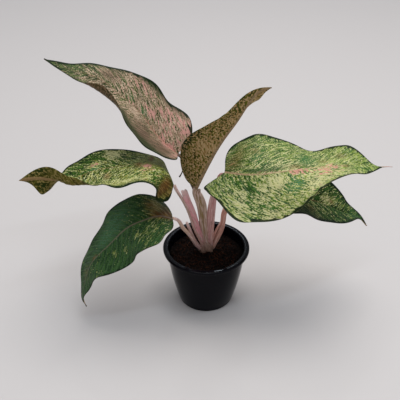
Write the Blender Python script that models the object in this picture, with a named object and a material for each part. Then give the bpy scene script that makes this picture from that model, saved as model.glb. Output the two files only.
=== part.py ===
"""A potted Chinese evergreen (Aglaonema) in a small round nursery pot.

Frame: metres, +Z up.  The origin is the middle of the pot's flat base, on the surface that the
plant stands on.  The plant's front is toward -Y and its right-hand leaves reach toward +X.

Every leaf is one thin closed solid.  Its flat outline is a formula, its midrib is a smooth curve
through a few chosen points, and each half of the blade leaves the midrib at an angle that
changes from the base of the leaf to its tip.
"""

import math

import bmesh
import bpy
import numpy as np
from mathutils import Vector

MM = 0.001

# --- driving dimensions ----------------------------------------------------------------------

GAP = 0.35 * MM                 # clearance between neighbouring solids

POT_SEGMENTS = 44
POT_LIP_RADIUS = 50.0 * MM      # outside of the rolled lip, the widest part of the pot
POT_LIP_INNER_RADIUS = 44.0 * MM
POT_LIP_HEIGHT = 3.8 * MM
POT_LIP_ROUNDING = 1.4 * MM
POT_LIP_UNDERCUT = 0.8 * MM     # how far the lip's lower edge stands back from its widest line
POT_HEIGHT = 73.6 * MM
POT_BODY_TOP_RADIUS = 45.0 * MM
POT_BODY_BASE_RADIUS = 32.0 * MM
POT_BODY_BULGE = 0.6            # how far the side bows out from a straight taper
POT_BASE_ROUNDING = 2.0 * MM
POT_WALL = 1.4 * MM
POT_FLOOR = 2.8 * MM            # height of the inside of the floor
POT_FLOOR_ROUNDING = 1.6 * MM   # where the inside of the wall meets the floor
POT_PAD_RADIUS = 11.0 * MM      # flat pad in the middle of the underside
POT_RECESS_DEPTH = 1.2 * MM
POT_RECESS_SLOPE = 0.8 * MM
POT_FOOT_RADIUS = 28.0 * MM     # inside of the flat foot ring
DRAIN_HOLES = 6
DRAIN_HOLE_RADIUS = 3.5 * MM
DRAIN_CIRCLE_RADIUS = 19.5 * MM
DRAIN_TURN = 0.4                # share of a step that the ring of drain holes is turned by

SOIL_TOP_EDGE = 61.0 * MM
SOIL_TOP_MIDDLE = 63.5 * MM
SOIL_SEGMENTS = 32
SOIL_ROUNDING = 2.4 * MM        # round the bottom edge of the root ball
SOIL_SIDE_RINGS = 5
SOIL_HOLE_FLOOR = 44.0 * MM     # bottom of the plain hole that the stem stands in

CROWN = Vector((0.0, 4.0, 0.0)) * MM     # where the plant stands in the soil
ROOT_RADIUS = 9.0 * MM
ROOT_BOTTOM = SOIL_HOLE_FLOOR + GAP
ROOT_TOP = 66.0 * MM
ROUND_SIDES = 24                # facets round the stem's foot and round its hole

BLADE_THICKNESS = 0.9 * MM
MIDRIB_DEPTH = 1.1 * MM         # how far the midrib stands out under the base of a blade
BLADE_NECK = 2.5 * MM           # half-width of a blade where it meets its petiole
BLADE_ROWS = 22
BLADE_COLUMNS = 7               # columns of points in each half, with the midrib
BLADE_TIP = 0.988               # where the outline is closed off, as a share of its length
LOBE_REACH = 3.2                # scales a leaf's lobe to the reach of its outline
ROW_BOW = 1.3                   # how late a row of points turns back toward its lobe

PETIOLE_SIDES = 10
PETIOLE_RINGS = 12
PETIOLE_TIP_RADIUS = 1.7 * MM
GENICULUM = 4.5 * MM            # last stretch of a petiole, in line with its midrib
SHEATH_FADE = 0.2               # share of a petiole over which its sheath narrows

# --- the leaves ------------------------------------------------------------------------------
# rib: points along the midrib in millimetres, from the base of the blade to its tip.
# right, left: angle of each half above level, in degrees, evenly spaced from base to tip.
# curl_right, curl_left: how far each half bends between the midrib and its margin, in degrees.
# half_width in millimetres; lobe is how far the base reaches back, as a share of the length;
# swell and taper are the outline's exponents at the base and at the tip.
# bulges: where one margin swells out: half (1 right, -1 left), place and spread as shares of the
# length, and millimetres.
# route: points along the petiole in millimetres, from the crown up, short of the blade.
# sheath: half-width and half-thickness of the petiole's sheathed foot in millimetres, and how far
# up the petiole the sheath ends, as a share of its length.

LEAVES = {
    "leaf_back_left": dict(
        rib=[(-32, 27, 179), (-52, 32, 197), (-71, 36, 224), (-92, 40, 244),
             (-117, 43, 263), (-144, 43, 271), (-168, 44, 282)],
        right=[60, 42, 28, 28, 10, 10, 5],
        left=[15, 10, 6, -5, -13, -11, -27, -50, -57, -48, -25, -5, 14],
        curl_right=[0],
        curl_left=[0, 0, 0, 10, 24, 32, 94, 172, 194, 180, 120, 55, 15],
        half_width=42.5, lobe=0.06, swell=0.43, taper=1.15,
        bulges=[(1, 0.14, 0.06, 1.5), (1, 0.30, 0.06, -3.0), (1, 0.42, 0.07, 2.5),
                (-1, 0.64, 0.08, 5.0)],
        route=[(-1, 5, 58), (-4, 6, 77), (-11, 9, 110), (-18, 16, 140),
               (-24, 22, 159)],
        sheath=(3.6, 2.2, 0.60),
    ),
    "leaf_left": dict(
        rib=[(-35, -12, 163), (-43, -8, 179), (-60, -6, 186), (-92, -6, 183),
             (-121, -10, 179), (-145, -19, 174), (-168, -24, 179), (-196, -18, 173)],
        right=[-10, -15, -17, -11, -1, 6, 6, -6, -80, -108, -92],
        left=[-27, -9, 3, 0, -8, -25, -40, -30, 68, 108, 115],
        curl_right=[0],
        curl_left=[0, 0, 0, 0, 12, 62, 125, 250, 80, 50, 25],
        half_width=41, lobe=0.165, swell=0.59, taper=1.22,
        bulges=[(1, 0.86, 0.045, 6.5), (-1, 0.13, 0.05, 5.0)],
        route=[(-2, 3, 58), (-5, 2, 72), (-11, 0, 88), (-18, -5, 111), (-25, -9, 134),
               (-31, -12, 151)],
        sheath=(4.8, 2.2, 0.74),
    ),
    "leaf_front_left": dict(
        rib=[(-37, -19, 125), (-50, -21, 130), (-64, -24, 128), (-85, -27, 119),
             (-106, -31, 99), (-127, -36, 77), (-137, -42, 51), (-139, -49, 34),
             (-134, -57, 31)],
        right=[4, 13, 10, 5, -1, 5, -6],
        left=[-10, -8, -16, -23, -7, -10, -9],
        curl_right=[0],
        curl_left=[0],
        half_width=38, lobe=0.035, swell=0.50, taper=1.16,
        bulges=[(-1, 0.16, 0.05, 4.0), (-1, 0.33, 0.05, -1.0), (1, 0.42, 0.04, 1.2),
                (1, 0.55, 0.04, -0.8), (1, 0.72, 0.04, 1.5)],
        route=[(-2, 4, 57), (-6, 3, 65), (-12, -1, 75), (-19, -7, 92), (-28, -13, 110)],
        sheath=(2.3, 1.9, 0.50),
    ),
    "leaf_upright": dict(
        rib=[(-11, 2, 150), (2, -5, 185), (16, -12, 217), (31, -21, 246),
             (40, -27, 266), (49, -29, 278), (59, -36, 284)],
        right=[105, 87, 62, 41, 34, 43],
        left=[50, 50, 44, 27, -11, -84],
        curl_right=[0],
        curl_left=[0],
        half_width=33.5, lobe=0.07, swell=0.53, taper=1.1,
        route=[(0, 4, 58), (-2, 3, 73), (-5, 2, 91), (-8, 0, 117), (-11, 0, 136)],
        sheath=(5.0, 2.6, 0.88),
    ),
    "leaf_right": dict(
        rib=[(19, 4, 170), (50, -11, 176), (81, -11, 180), (113, -9, 183),
             (151, -4, 184), (188, 4, 176)],
        right=[2, -49, -44, -8, 11, -1, -31],
        left=[22, 29, 19, 1, 3, 32, -25],
        curl_right=[32, 19, 7, 0, 0, 0, 0],
        curl_left=[5, 0, 9, 10, 0, 0, 0],
        half_width=50.5, lobe=0.145, swell=0.48, taper=1.07,
        bulges=[(-1, 0.80, 0.04, 2.0), (1, 0.11, 0.05, -2.5), (1, 0.25, 0.03, 1.0)],
        route=[(1, 4, 58), (2, 4, 76), (3, 5, 92), (5, 5, 117), (8, 5, 139), (12, 5, 156)],
        sheath=(4.0, 2.4, 0.75),
    ),
    "leaf_lower_right": dict(
        rib=[(43, 11, 145), (71, 11, 140), (105, 13, 131), (135, 13, 122),
             (159, 17, 108), (179, 22, 97), (188, 17, 89)],
        right=[-8, -2, 3, -13, 2, 20],
        left=[20, 25, 40, 46, 38, 10],
        curl_right=[0],
        curl_left=[0],
        half_width=38, lobe=0.08, swell=0.50, taper=1.19,
        route=[(3, 5, 57), (6, 6, 71), (10, 7, 82), (17, 9, 100), (23, 11, 118), (31, 11, 133)],
        sheath=(3.0, 2.0, 0.60),
    ),
}

# the foot of an old petiole, cut off above the soil
STUB_ROUTE = [(-2, 4, 57), (-6, 2, 68), (-13, -1, 83), (-23, -6, 110)]
STUB_SHEATH = (2.4, 1.8, 0.70)
STUB_TIP_RADIUS = 1.0 * MM

# the dried end of a sheath, hooked down beside the petiole of the back left leaf
HOOK_ROUTE = [(-24, 22, 161), (-26, 20, 162), (-28, 18, 159), (-30, 17, 156)]
HOOK_SHEATH = (0.9, 0.7, 1.0)
HOOK_TIP_RADIUS = 0.6 * MM


# --- curves ----------------------------------------------------------------------------------

def natural_spline(knots, values, at):
    """A smooth curve with no bend at its ends, through values at knots, read at the given places."""
    knots = np.asarray(knots, float)
    values = np.asarray(values, float).reshape(len(knots), -1)
    count = len(knots)
    if count == 1:
        return np.repeat(values, len(at), axis=0)
    steps = np.diff(knots)
    slopes = np.diff(values, axis=0) / steps[:, None]
    system = np.zeros((count, count))
    target = np.zeros(values.shape)
    system[0, 0] = 1.0
    system[-1, -1] = 1.0
    for i in range(1, count - 1):
        system[i, i - 1:i + 2] = (steps[i - 1], 2.0 * (steps[i - 1] + steps[i]), steps[i])
        target[i] = 6.0 * (slopes[i] - slopes[i - 1])
    bend = np.linalg.solve(system, target)
    span = np.clip(np.searchsorted(knots, at) - 1, 0, count - 2)
    past = (np.asarray(at, float) - knots[span])[:, None]
    step = steps[span][:, None]
    linear = slopes[span] - step * (2.0 * bend[span] + bend[span + 1]) / 6.0
    cubic = (bend[span + 1] - bend[span]) / (6.0 * step)
    return values[span] + linear * past + bend[span] / 2.0 * past ** 2 + cubic * past ** 3


def unit(vectors):
    return vectors / np.linalg.norm(vectors, axis=-1, keepdims=True)


def smooth_route(points, count):
    """Evenly spread points along a smooth curve through the given ones, in metres."""
    points = np.asarray(points, float)
    knots = np.concatenate(([0.0], np.cumsum(np.linalg.norm(np.diff(points, axis=0), axis=1))))
    return natural_spline(knots, points, np.linspace(0.0, knots[-1], count))


# --- the blade of a leaf ---------------------------------------------------------------------

class Blade:
    """The middle surface of a leaf: a flat half-outline bent onto a curved midrib."""

    SAMPLES = 240

    def __init__(self, leaf):
        self.rib = smooth_route(np.array(leaf["rib"]) * MM, self.SAMPLES)
        strides = np.linalg.norm(np.diff(self.rib, axis=0), axis=1)
        self.arc = np.concatenate(([0.0], np.cumsum(strides)))
        self.length = self.arc[-1]
        self.along = unit(np.gradient(self.rib, self.arc, axis=0))
        heading = self.rib[-1] - self.rib[0]
        level = unit(np.array((heading[1], -heading[0], 0.0)))
        self.side = unit(level - (self.along @ level)[:, None] * self.along)
        self.up = np.cross(self.side, self.along)
        self.half_width = leaf["half_width"] * MM
        self.lobe = leaf["lobe"]
        self.swell = leaf["swell"]
        self.taper = leaf["taper"]
        self.bulges = leaf.get("bulges", [])
        share = self.arc / self.length
        self.rise = {1: self.angles(leaf["right"], share), -1: self.angles(leaf["left"], share)}
        self.curl = {1: self.angles(leaf["curl_right"], share),
                     -1: self.angles(leaf["curl_left"], share)}

    @staticmethod
    def angles(keys, share):
        return np.radians(natural_spline(np.linspace(0.0, 1.0, len(keys)), keys, share)[:, 0])

    def outline(self, s, side):
        """Distances along the midrib and out from it, for points s = 0..1 along one margin."""
        widest = self.swell / (self.swell + self.taper)
        full = widest ** self.swell * (1.0 - widest) ** self.taper
        out = self.half_width * s ** self.swell * (1.0 - s) ** self.taper / full
        out = out + BLADE_NECK * (1.0 - s) ** 6
        for half, place, spread, extra in self.bulges:
            if half == side:
                out = out + extra * MM * np.exp(-((s - place) / spread) ** 2)
        back = LOBE_REACH * self.lobe * np.sqrt(s) * (1.0 - s) ** 4
        along = self.length * (s - back)
        return along, out

    def at(self, along, out, side):
        """The point that lies a distance along the midrib and a distance out from it."""
        on_rib = np.clip(along, 0.0, self.length)

        def read(track):
            return np.stack([np.interp(on_rib, self.arc, track[:, k]) for k in range(3)], -1)

        foot = read(self.rib) + (along - on_rib)[..., None] * self.along[0]
        rise = np.interp(on_rib, self.arc, self.rise[side])
        bend = np.interp(on_rib, self.arc, self.curl[side]) / self.half_width
        bend = np.where(np.abs(bend) < 1e-6, 1e-6, bend)
        level = (np.sin(rise + bend * out) - np.sin(rise)) / bend
        height = (np.cos(rise) - np.cos(rise + bend * out)) / bend
        level = level[..., None] * unit(read(self.side))
        return foot + side * level + height[..., None] * unit(read(self.up))

    def normal_at(self, along, out, side):
        """The unit normal of the upper face, from two short steps over the surface."""
        step = 0.2 * MM
        forward = self.at(along + step, out, side) - self.at(along - step, out, side)
        outward = self.at(along, out + step, side) - self.at(along, out - step, side)
        return unit(np.cross(side * outward, forward))

    def sheet(self, rows, columns):
        """Grids of points and normals, from the left margin over the midrib to the right one."""
        s = BLADE_TIP * (1.0 - np.cos(np.pi * np.linspace(0.0, 1.0, rows))) / 2.0
        share = np.linspace(0.0, 1.0, columns)[None, :]
        on_rib = self.length * s[:, None]
        sheets = {}
        for side in (1, -1):
            along, out = self.outline(s, side)
            along_grid = on_rib + (along[:, None] - on_rib) * share ** ROW_BOW
            out_grid = out[:, None] * share
            sheets[side] = (self.at(along_grid, out_grid, side),
                            self.normal_at(along_grid, out_grid, side))
        right, facing_right = sheets[1]
        left, facing_left = sheets[-1]
        facing_right[:, 0] = unit(facing_right[:, 0] + facing_left[:, 0])
        points = np.concatenate((left[:, :0:-1], right), axis=1)
        normals = np.concatenate((facing_left[:, :0:-1], facing_right), axis=1)
        return points, normals


def blade_solid(name, leaf):
    """The closed solid of one blade, with its midrib standing out below."""
    sheet, normals = Blade(leaf).sheet(BLADE_ROWS, BLADE_COLUMNS)
    rows, columns = sheet.shape[:2]
    below = np.full((rows, columns), BLADE_THICKNESS / 2.0)
    below[:, BLADE_COLUMNS - 1] += MIDRIB_DEPTH * np.linspace(1.0, 0.1, rows)
    top = sheet + normals * BLADE_THICKNESS / 2.0
    bottom = sheet - normals * below[..., None]
    points = np.concatenate((top.reshape(-1, 3), bottom.reshape(-1, 3)))
    half = rows * columns
    faces = []
    for i in range(rows - 1):
        for j in range(columns - 1):
            a = i * columns + j
            b = a + 1
            c = a + columns + 1
            d = a + columns
            faces += [(a, b, c), (a, c, d)]
            faces += [(b + half, a + half, c + half), (c + half, a + half, d + half)]
    rim = list(range(columns))
    rim += [i * columns + columns - 1 for i in range(1, rows)]
    rim += [(rows - 1) * columns + j for j in range(columns - 2, -1, -1)]
    rim += [i * columns for i in range(rows - 2, 0, -1)]
    for a, b in zip(rim, rim[1:] + rim[:1]):
        faces += [(b, a, a + half), (b, a + half, b + half)]
    return new_object(name, points, faces)


# --- making objects --------------------------------------------------------------------------

def new_object(name, points, faces):
    mesh = bpy.data.meshes.new(name)
    mesh.from_pydata([tuple(p) for p in points], [], faces)
    mesh.update()
    obj = bpy.data.objects.new(name, mesh)
    bpy.context.scene.collection.objects.link(obj)
    face_outward(mesh)
    mesh.shade_smooth()
    mesh.set_sharp_from_angle(angle=math.radians(40.0))
    return obj


def face_outward(mesh):
    work = bmesh.new()
    work.from_mesh(mesh)
    bmesh.ops.recalc_face_normals(work, faces=work.faces)
    work.to_mesh(mesh)
    work.free()


def paint(obj, colour, roughness, metallic=0.0):
    material = bpy.data.materials.new(obj.name)
    material.use_nodes = True
    shader = material.node_tree.nodes["Principled BSDF"]
    shader.inputs["Base Color"].default_value = (*colour, 1.0)
    shader.inputs["Roughness"].default_value = roughness
    shader.inputs["Metallic"].default_value = metallic
    obj.data.materials.clear()
    obj.data.materials.append(material)


def hide_tool(obj):
    obj.hide_render = True
    obj.display_type = "WIRE"


def combine(obj, tool, operation):
    modifier = obj.modifiers.new(operation.title(), "BOOLEAN")
    modifier.operation = operation
    modifier.solver = "EXACT"
    modifier.object = tool
    hide_tool(tool)


def turned(name, profile, segments):
    """A solid of revolution about Z, from (radius, height) points that start and end on the axis."""
    points = []
    rings = []
    for radius, height in profile:
        if radius == 0.0:
            rings.append([len(points)] * segments)
            points.append((0.0, 0.0, height))
            continue
        rings.append(list(range(len(points), len(points) + segments)))
        for k in range(segments):
            angle = 2.0 * math.pi * k / segments
            points.append((radius * math.cos(angle), radius * math.sin(angle), height))
    faces = []
    for lower, upper in zip(rings, rings[1:]):
        for k in range(segments):
            n = (k + 1) % segments
            corners = [lower[k], lower[n], upper[n], upper[k]]
            faces.append(tuple(dict.fromkeys(corners)))
    return new_object(name, points, faces)


def arc(centre, radius, start, end, count):
    """Points on an arc in the (radius, height) plane, between two angles in degrees."""
    angles = np.radians(np.linspace(start, end, count))
    return [(centre[0] + radius * math.cos(a), centre[1] + radius * math.sin(a)) for a in angles]


# --- the pot ---------------------------------------------------------------------------------

POT_BODY_TOP = POT_HEIGHT - POT_LIP_HEIGHT


def pot_body_radius(height):
    share = height / POT_BODY_TOP
    swollen = share + POT_BODY_BULGE * share * (1.0 - share)
    return POT_BODY_BASE_RADIUS + (POT_BODY_TOP_RADIUS - POT_BODY_BASE_RADIUS) * swollen


def pot_inner_radius(height):
    return pot_body_radius(height) - POT_WALL


def pot_profile():
    rounding = POT_LIP_ROUNDING
    lip_middle = POT_LIP_RADIUS - rounding
    base_edge = pot_body_radius(POT_BASE_ROUNDING) - POT_BASE_ROUNDING
    profile = [
        (0.0, 0.0),
        (POT_PAD_RADIUS, 0.0),
        (POT_PAD_RADIUS + POT_RECESS_SLOPE, POT_RECESS_DEPTH),
        (POT_FOOT_RADIUS - POT_RECESS_SLOPE, POT_RECESS_DEPTH),
        (POT_FOOT_RADIUS, 0.0),
    ]
    profile += arc((base_edge, POT_BASE_ROUNDING), POT_BASE_ROUNDING, -90.0, 0.0, 4)
    for height in np.linspace(0.12, 1.0, 9) * POT_BODY_TOP:
        profile.append((pot_body_radius(height), height))
    profile.append((POT_LIP_RADIUS - POT_LIP_UNDERCUT, POT_BODY_TOP))
    lip_below = POT_BODY_TOP + rounding
    profile += arc((lip_middle, lip_below), rounding, -20.0, 0.0, 2)
    profile += arc((lip_middle, POT_HEIGHT - rounding), rounding, 20.0, 90.0, 4)
    inner_edge = POT_LIP_INNER_RADIUS + rounding
    profile += arc((inner_edge, POT_HEIGHT - rounding), rounding, 90.0, 180.0, 4)
    for height in np.linspace(0.95, 0.16, 7) * POT_BODY_TOP:
        profile.append((pot_inner_radius(height), height))
    floor_edge = pot_inner_radius(POT_FLOOR + POT_FLOOR_ROUNDING)
    profile.append((floor_edge, POT_FLOOR + POT_FLOOR_ROUNDING))
    profile.append((floor_edge - POT_FLOOR_ROUNDING, POT_FLOOR))
    profile.append((0.0, POT_FLOOR))
    return profile


def make_pot():
    pot = turned("pot", pot_profile(), POT_SEGMENTS)
    for k in range(DRAIN_HOLES):
        angle = 2.0 * math.pi * (k + DRAIN_TURN) / DRAIN_HOLES
        bpy.ops.mesh.primitive_cylinder_add(
            vertices=16, radius=DRAIN_HOLE_RADIUS, depth=4.0 * POT_FLOOR,
            location=(DRAIN_CIRCLE_RADIUS * math.cos(angle),
                      DRAIN_CIRCLE_RADIUS * math.sin(angle), POT_FLOOR),
        )
        drill = bpy.context.object
        drill.name = f"drain_drill_{k}"
        combine(pot, drill, "DIFFERENCE")
    paint(pot, (0.012, 0.013, 0.018), 0.28)
    return pot


# --- the soil --------------------------------------------------------------------------------

def make_soil():
    bottom = POT_FLOOR + GAP
    profile = [(0.0, bottom)]
    profile.append((pot_inner_radius(bottom) - SOIL_ROUNDING, bottom))
    for height in np.linspace(bottom + SOIL_ROUNDING, SOIL_TOP_EDGE, SOIL_SIDE_RINGS + 1):
        profile.append((pot_inner_radius(height) - 2.0 * GAP, height))
    for share in (0.75, 0.45):
        height = SOIL_TOP_EDGE + (SOIL_TOP_MIDDLE - SOIL_TOP_EDGE) * (1.0 - share ** 2)
        profile.append((share * pot_inner_radius(SOIL_TOP_EDGE), height))
    profile.append((0.0, SOIL_TOP_MIDDLE))
    soil = turned("soil", profile, SOIL_SEGMENTS)
    depth = SOIL_TOP_MIDDLE + 5.0 * MM - SOIL_HOLE_FLOOR
    bpy.ops.mesh.primitive_cylinder_add(
        vertices=ROUND_SIDES, radius=ROOT_RADIUS + GAP, depth=depth,
        location=(CROWN.x, CROWN.y, SOIL_HOLE_FLOOR + depth / 2.0),
    )
    drill = bpy.context.object
    drill.name = "stem_drill"
    combine(soil, drill, "DIFFERENCE")
    paint(soil, (0.035, 0.022, 0.014), 0.95)
    return soil


# --- the stem and its petioles ---------------------------------------------------------------

def petiole_route(leaf, blade):
    """The leaf's petiole, which bends into line with the midrib just before the blade."""
    base = blade.rib[0]
    direction = blade.along[0]
    points = [np.array(point) * MM for point in leaf["route"]]
    points += [base - direction * GENICULUM, base - direction * GAP * 1.2]
    return smooth_route(points, PETIOLE_RINGS)


def oval_tube(name, route, sheath, tip_radius, end_direction=None):
    """A tapering tube, wide across its foot where it sheathes the stem and round at its tip."""
    forward = unit(np.gradient(route, axis=0))
    if end_direction is not None:
        forward[-1] = end_direction
    wide = unit(np.cross(forward, (0.0, 1.0, 0.0)))
    thick = np.cross(wide, forward)
    share = np.linspace(0.0, 1.0, len(route))
    sheathing = np.clip((sheath[2] - share) / SHEATH_FADE, 0.0, 1.0)
    half_wide = tip_radius + (sheath[0] * MM - tip_radius) * sheathing
    half_thick = tip_radius + (sheath[1] * MM - tip_radius) * sheathing
    angles = 2.0 * np.pi * np.arange(PETIOLE_SIDES) / PETIOLE_SIDES
    points = []
    for k, centre in enumerate(route):
        for angle in angles:
            across = half_wide[k] * math.cos(angle) * wide[k]
            through = half_thick[k] * math.sin(angle) * thick[k]
            points.append(centre + across + through)
    faces = [tuple(range(PETIOLE_SIDES))]
    last = (len(route) - 1) * PETIOLE_SIDES
    faces.append(tuple(range(last, last + PETIOLE_SIDES)))
    for k in range(len(route) - 1):
        for j in range(PETIOLE_SIDES):
            n = (j + 1) % PETIOLE_SIDES
            a = k * PETIOLE_SIDES
            b = a + PETIOLE_SIDES
            faces.append((a + j, a + n, b + n, b + j))
    return new_object(name, points, faces)


def make_stem():
    depth = ROOT_TOP - ROOT_BOTTOM
    bpy.ops.mesh.primitive_cylinder_add(
        vertices=ROUND_SIDES, radius=ROOT_RADIUS, depth=depth,
        location=(CROWN.x, CROWN.y, ROOT_BOTTOM + depth / 2.0),
    )
    stem = bpy.context.object
    stem.name = "stem_and_petioles"
    for name, leaf in LEAVES.items():
        blade = Blade(leaf)
        tube = oval_tube("petiole_of_" + name, petiole_route(leaf, blade), leaf["sheath"],
                         PETIOLE_TIP_RADIUS, blade.along[0])
        combine(stem, tube, "UNION")
    stub_route = smooth_route(np.array(STUB_ROUTE) * MM, 8)
    stub = oval_tube("old_petiole", stub_route, STUB_SHEATH, STUB_TIP_RADIUS)
    combine(stem, stub, "UNION")
    hook_route = smooth_route(np.array(HOOK_ROUTE) * MM, 6)
    hook = oval_tube("dried_sheath_end", hook_route, HOOK_SHEATH, HOOK_TIP_RADIUS)
    combine(stem, hook, "UNION")
    paint(stem, (0.45, 0.20, 0.20), 0.45)
    return stem


# --- the whole plant -------------------------------------------------------------------------

LEAF_COLOURS = {
    "leaf_back_left": (0.34, 0.24, 0.17),
    "leaf_left": (0.17, 0.21, 0.07),
    "leaf_front_left": (0.03, 0.08, 0.03),
    "leaf_upright": (0.11, 0.09, 0.03),
    "leaf_right": (0.24, 0.30, 0.11),
    "leaf_lower_right": (0.03, 0.08, 0.025),
}


def main():
    for obj in list(bpy.data.objects):
        bpy.data.objects.remove(obj, do_unlink=True)
    plant = bpy.data.objects.new("chinese_evergreen", None)
    bpy.context.scene.collection.objects.link(plant)
    pieces = [make_pot(), make_soil(), make_stem()]
    for name, leaf in LEAVES.items():
        blade = blade_solid(name, leaf)
        paint(blade, LEAF_COLOURS[name], 0.4)
        pieces.append(blade)
    for piece in pieces:
        piece.parent = plant


main()
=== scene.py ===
"""Looks of a potted Chinese evergreen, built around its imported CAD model."""
import math
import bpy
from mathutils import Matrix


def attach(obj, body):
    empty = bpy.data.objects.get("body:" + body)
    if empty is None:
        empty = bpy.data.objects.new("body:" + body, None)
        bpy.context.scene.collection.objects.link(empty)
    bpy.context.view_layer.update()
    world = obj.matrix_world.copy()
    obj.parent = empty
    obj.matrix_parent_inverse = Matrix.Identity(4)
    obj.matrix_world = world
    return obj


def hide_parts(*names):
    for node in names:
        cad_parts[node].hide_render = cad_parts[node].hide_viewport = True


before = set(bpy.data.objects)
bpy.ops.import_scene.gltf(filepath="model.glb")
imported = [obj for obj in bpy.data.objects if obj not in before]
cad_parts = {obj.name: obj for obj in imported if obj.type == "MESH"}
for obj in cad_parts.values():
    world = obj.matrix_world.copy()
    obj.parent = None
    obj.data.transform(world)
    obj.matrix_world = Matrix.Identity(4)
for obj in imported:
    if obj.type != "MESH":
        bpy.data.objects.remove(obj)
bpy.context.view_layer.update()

from types import SimpleNamespace

import bmesh
import bpy
import numpy as np
from mathutils import Matrix, Vector

MM = 0.001

# --- the leaves -------------------------------------------------------------------------------
# The values are those of the CAD model, but for three that were found to fit the photograph
# better: the neck of leaf_upright, and leaf_right's first angle on the right and its bulges on
# that side.
# rib: points along the midrib in millimetres, from the base of the blade to its tip.
# right, left: angle of each half above level, in degrees, evenly spaced from base to tip.
# curl_right, curl_left: how far each half bends as it leaves the midrib, in degrees over a
# distance of half_width.
# half_width in millimetres; lobe is how far the base is pushed back, two thirds of it at most, as
# a share of the length; swell and taper are the outline's exponents at the base and at the tip;
# neck is the half-width where the blade meets its petiole.
# bulges: where one margin swells out, or draws in if below zero: half (1 right, -1 left), place
# and spread as shares of that margin, and millimetres.
# route: points along the petiole in millimetres, from the crown up, short of the blade.

LEAVES = {
    "leaf_back_left": dict(
        rib=[(-32, 27, 179), (-52, 32, 197), (-71, 36, 224), (-92, 40, 244),
             (-117, 43, 263), (-144, 43, 271), (-168, 44, 282)],
        right=[60, 42, 28, 28, 10, 10, 5],
        left=[15, 10, 6, -5, -13, -11, -27, -50, -57, -48, -25, -5, 14],
        curl_left=[0, 0, 0, 10, 24, 32, 94, 172, 194, 180, 120, 55, 15],
        half_width=42.5, lobe=0.06, swell=0.43, taper=1.15,
        bulges=[(1, 0.14, 0.06, 1.5), (1, 0.30, 0.06, -3.0), (1, 0.42, 0.07, 2.5),
                (-1, 0.64, 0.08, 5.0)],
        route=[(-1, 5, 58), (-4, 6, 77), (-11, 9, 110), (-18, 16, 140),
               (-24, 22, 159)],
    ),
    "leaf_left": dict(
        rib=[(-35, -12, 163), (-43, -8, 179), (-60, -6, 186), (-92, -6, 183),
             (-121, -10, 179), (-145, -19, 174), (-168, -24, 179), (-196, -18, 173)],
        right=[-10, -15, -17, -11, -1, 6, 6, -6, -80, -108, -92],
        left=[-27, -9, 3, 0, -8, -25, -40, -30, 68, 108, 115],
        curl_left=[0, 0, 0, 0, 12, 62, 125, 250, 80, 50, 25],
        half_width=41, lobe=0.165, swell=0.59, taper=1.22,
        bulges=[(1, 0.86, 0.045, 6.5), (-1, 0.13, 0.05, 5.0)],
        route=[(-2, 3, 58), (-5, 2, 72), (-11, 0, 88), (-18, -5, 111), (-25, -9, 134),
               (-31, -12, 151)],
    ),
    "leaf_front_left": dict(
        rib=[(-37, -19, 125), (-50, -21, 130), (-64, -24, 128), (-85, -27, 119),
             (-106, -31, 99), (-127, -36, 77), (-137, -42, 51), (-139, -49, 34),
             (-134, -57, 31)],
        right=[4, 13, 10, 5, -1, 5, -6],
        left=[-10, -8, -16, -23, -7, -10, -9],
        half_width=38, lobe=0.035, swell=0.50, taper=1.16,
        bulges=[(-1, 0.16, 0.05, 4.0), (-1, 0.33, 0.05, -1.0), (1, 0.42, 0.04, 1.2),
                (1, 0.55, 0.04, -0.8), (1, 0.72, 0.04, 1.5)],
        route=[(-2, 4, 57), (-6, 3, 65), (-12, -1, 75), (-19, -7, 92), (-28, -13, 110)],
    ),
    "leaf_upright": dict(
        rib=[(-11, 2, 150), (2, -5, 185), (16, -12, 217), (31, -21, 246),
             (40, -27, 266), (49, -29, 278), (59, -36, 284)],
        right=[105, 87, 62, 41, 34, 43],
        left=[50, 50, 44, 27, -11, -84],
        half_width=33.5, lobe=0.07, swell=0.53, taper=1.1, neck=5.0 * MM,
        route=[(0, 4, 58), (-2, 3, 73), (-5, 2, 91), (-8, 0, 117), (-11, 0, 136)],
    ),
    "leaf_right": dict(
        rib=[(19, 4, 170), (50, -11, 176), (81, -11, 180), (113, -9, 183),
             (151, -4, 184), (188, 4, 176)],
        right=[-10, -49, -44, -8, 11, -1, -31],
        left=[22, 29, 19, 1, 3, 32, -25],
        curl_right=[32, 19, 7, 0, 0, 0, 0],
        curl_left=[5, 0, 9, 10, 0, 0, 0],
        half_width=50.5, lobe=0.145, swell=0.48, taper=1.07,
        bulges=[(-1, 0.80, 0.04, 2.0), (1, 0.03, 0.03, 2.5), (1, 0.15, 0.042, -6.5),
                (1, 0.23, 0.03, 3.0)],
        route=[(1, 4, 58), (2, 4, 76), (3, 5, 92), (5, 5, 117), (8, 5, 139), (12, 5, 156)],
    ),
    "leaf_lower_right": dict(
        rib=[(43, 11, 145), (71, 11, 140), (105, 13, 131), (135, 13, 122),
             (159, 17, 108), (179, 22, 97), (188, 17, 89)],
        right=[-8, -2, 3, -13, 2, 20],
        left=[20, 25, 40, 46, 38, 10],
        half_width=38, lobe=0.08, swell=0.50, taper=1.19,
        route=[(3, 5, 57), (6, 6, 71), (10, 7, 82), (17, 9, 100), (23, 11, 118), (31, 11, 133)],
    ),
}

STUB_ROUTE = [(-2, 4, 57), (-6, 2, 68), (-13, -1, 83), (-23, -6, 110)]
HOOK_ROUTE = [(-24, 22, 161), (-26, 20, 162), (-28, 18, 159), (-30, 17, 156)]
TIP_ROUTE = [(183, 3.6, 177.0), (187.5, 4.2, 176.2), (193, 4.6, 176.4), (199, 4.6, 176.0)]

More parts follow.
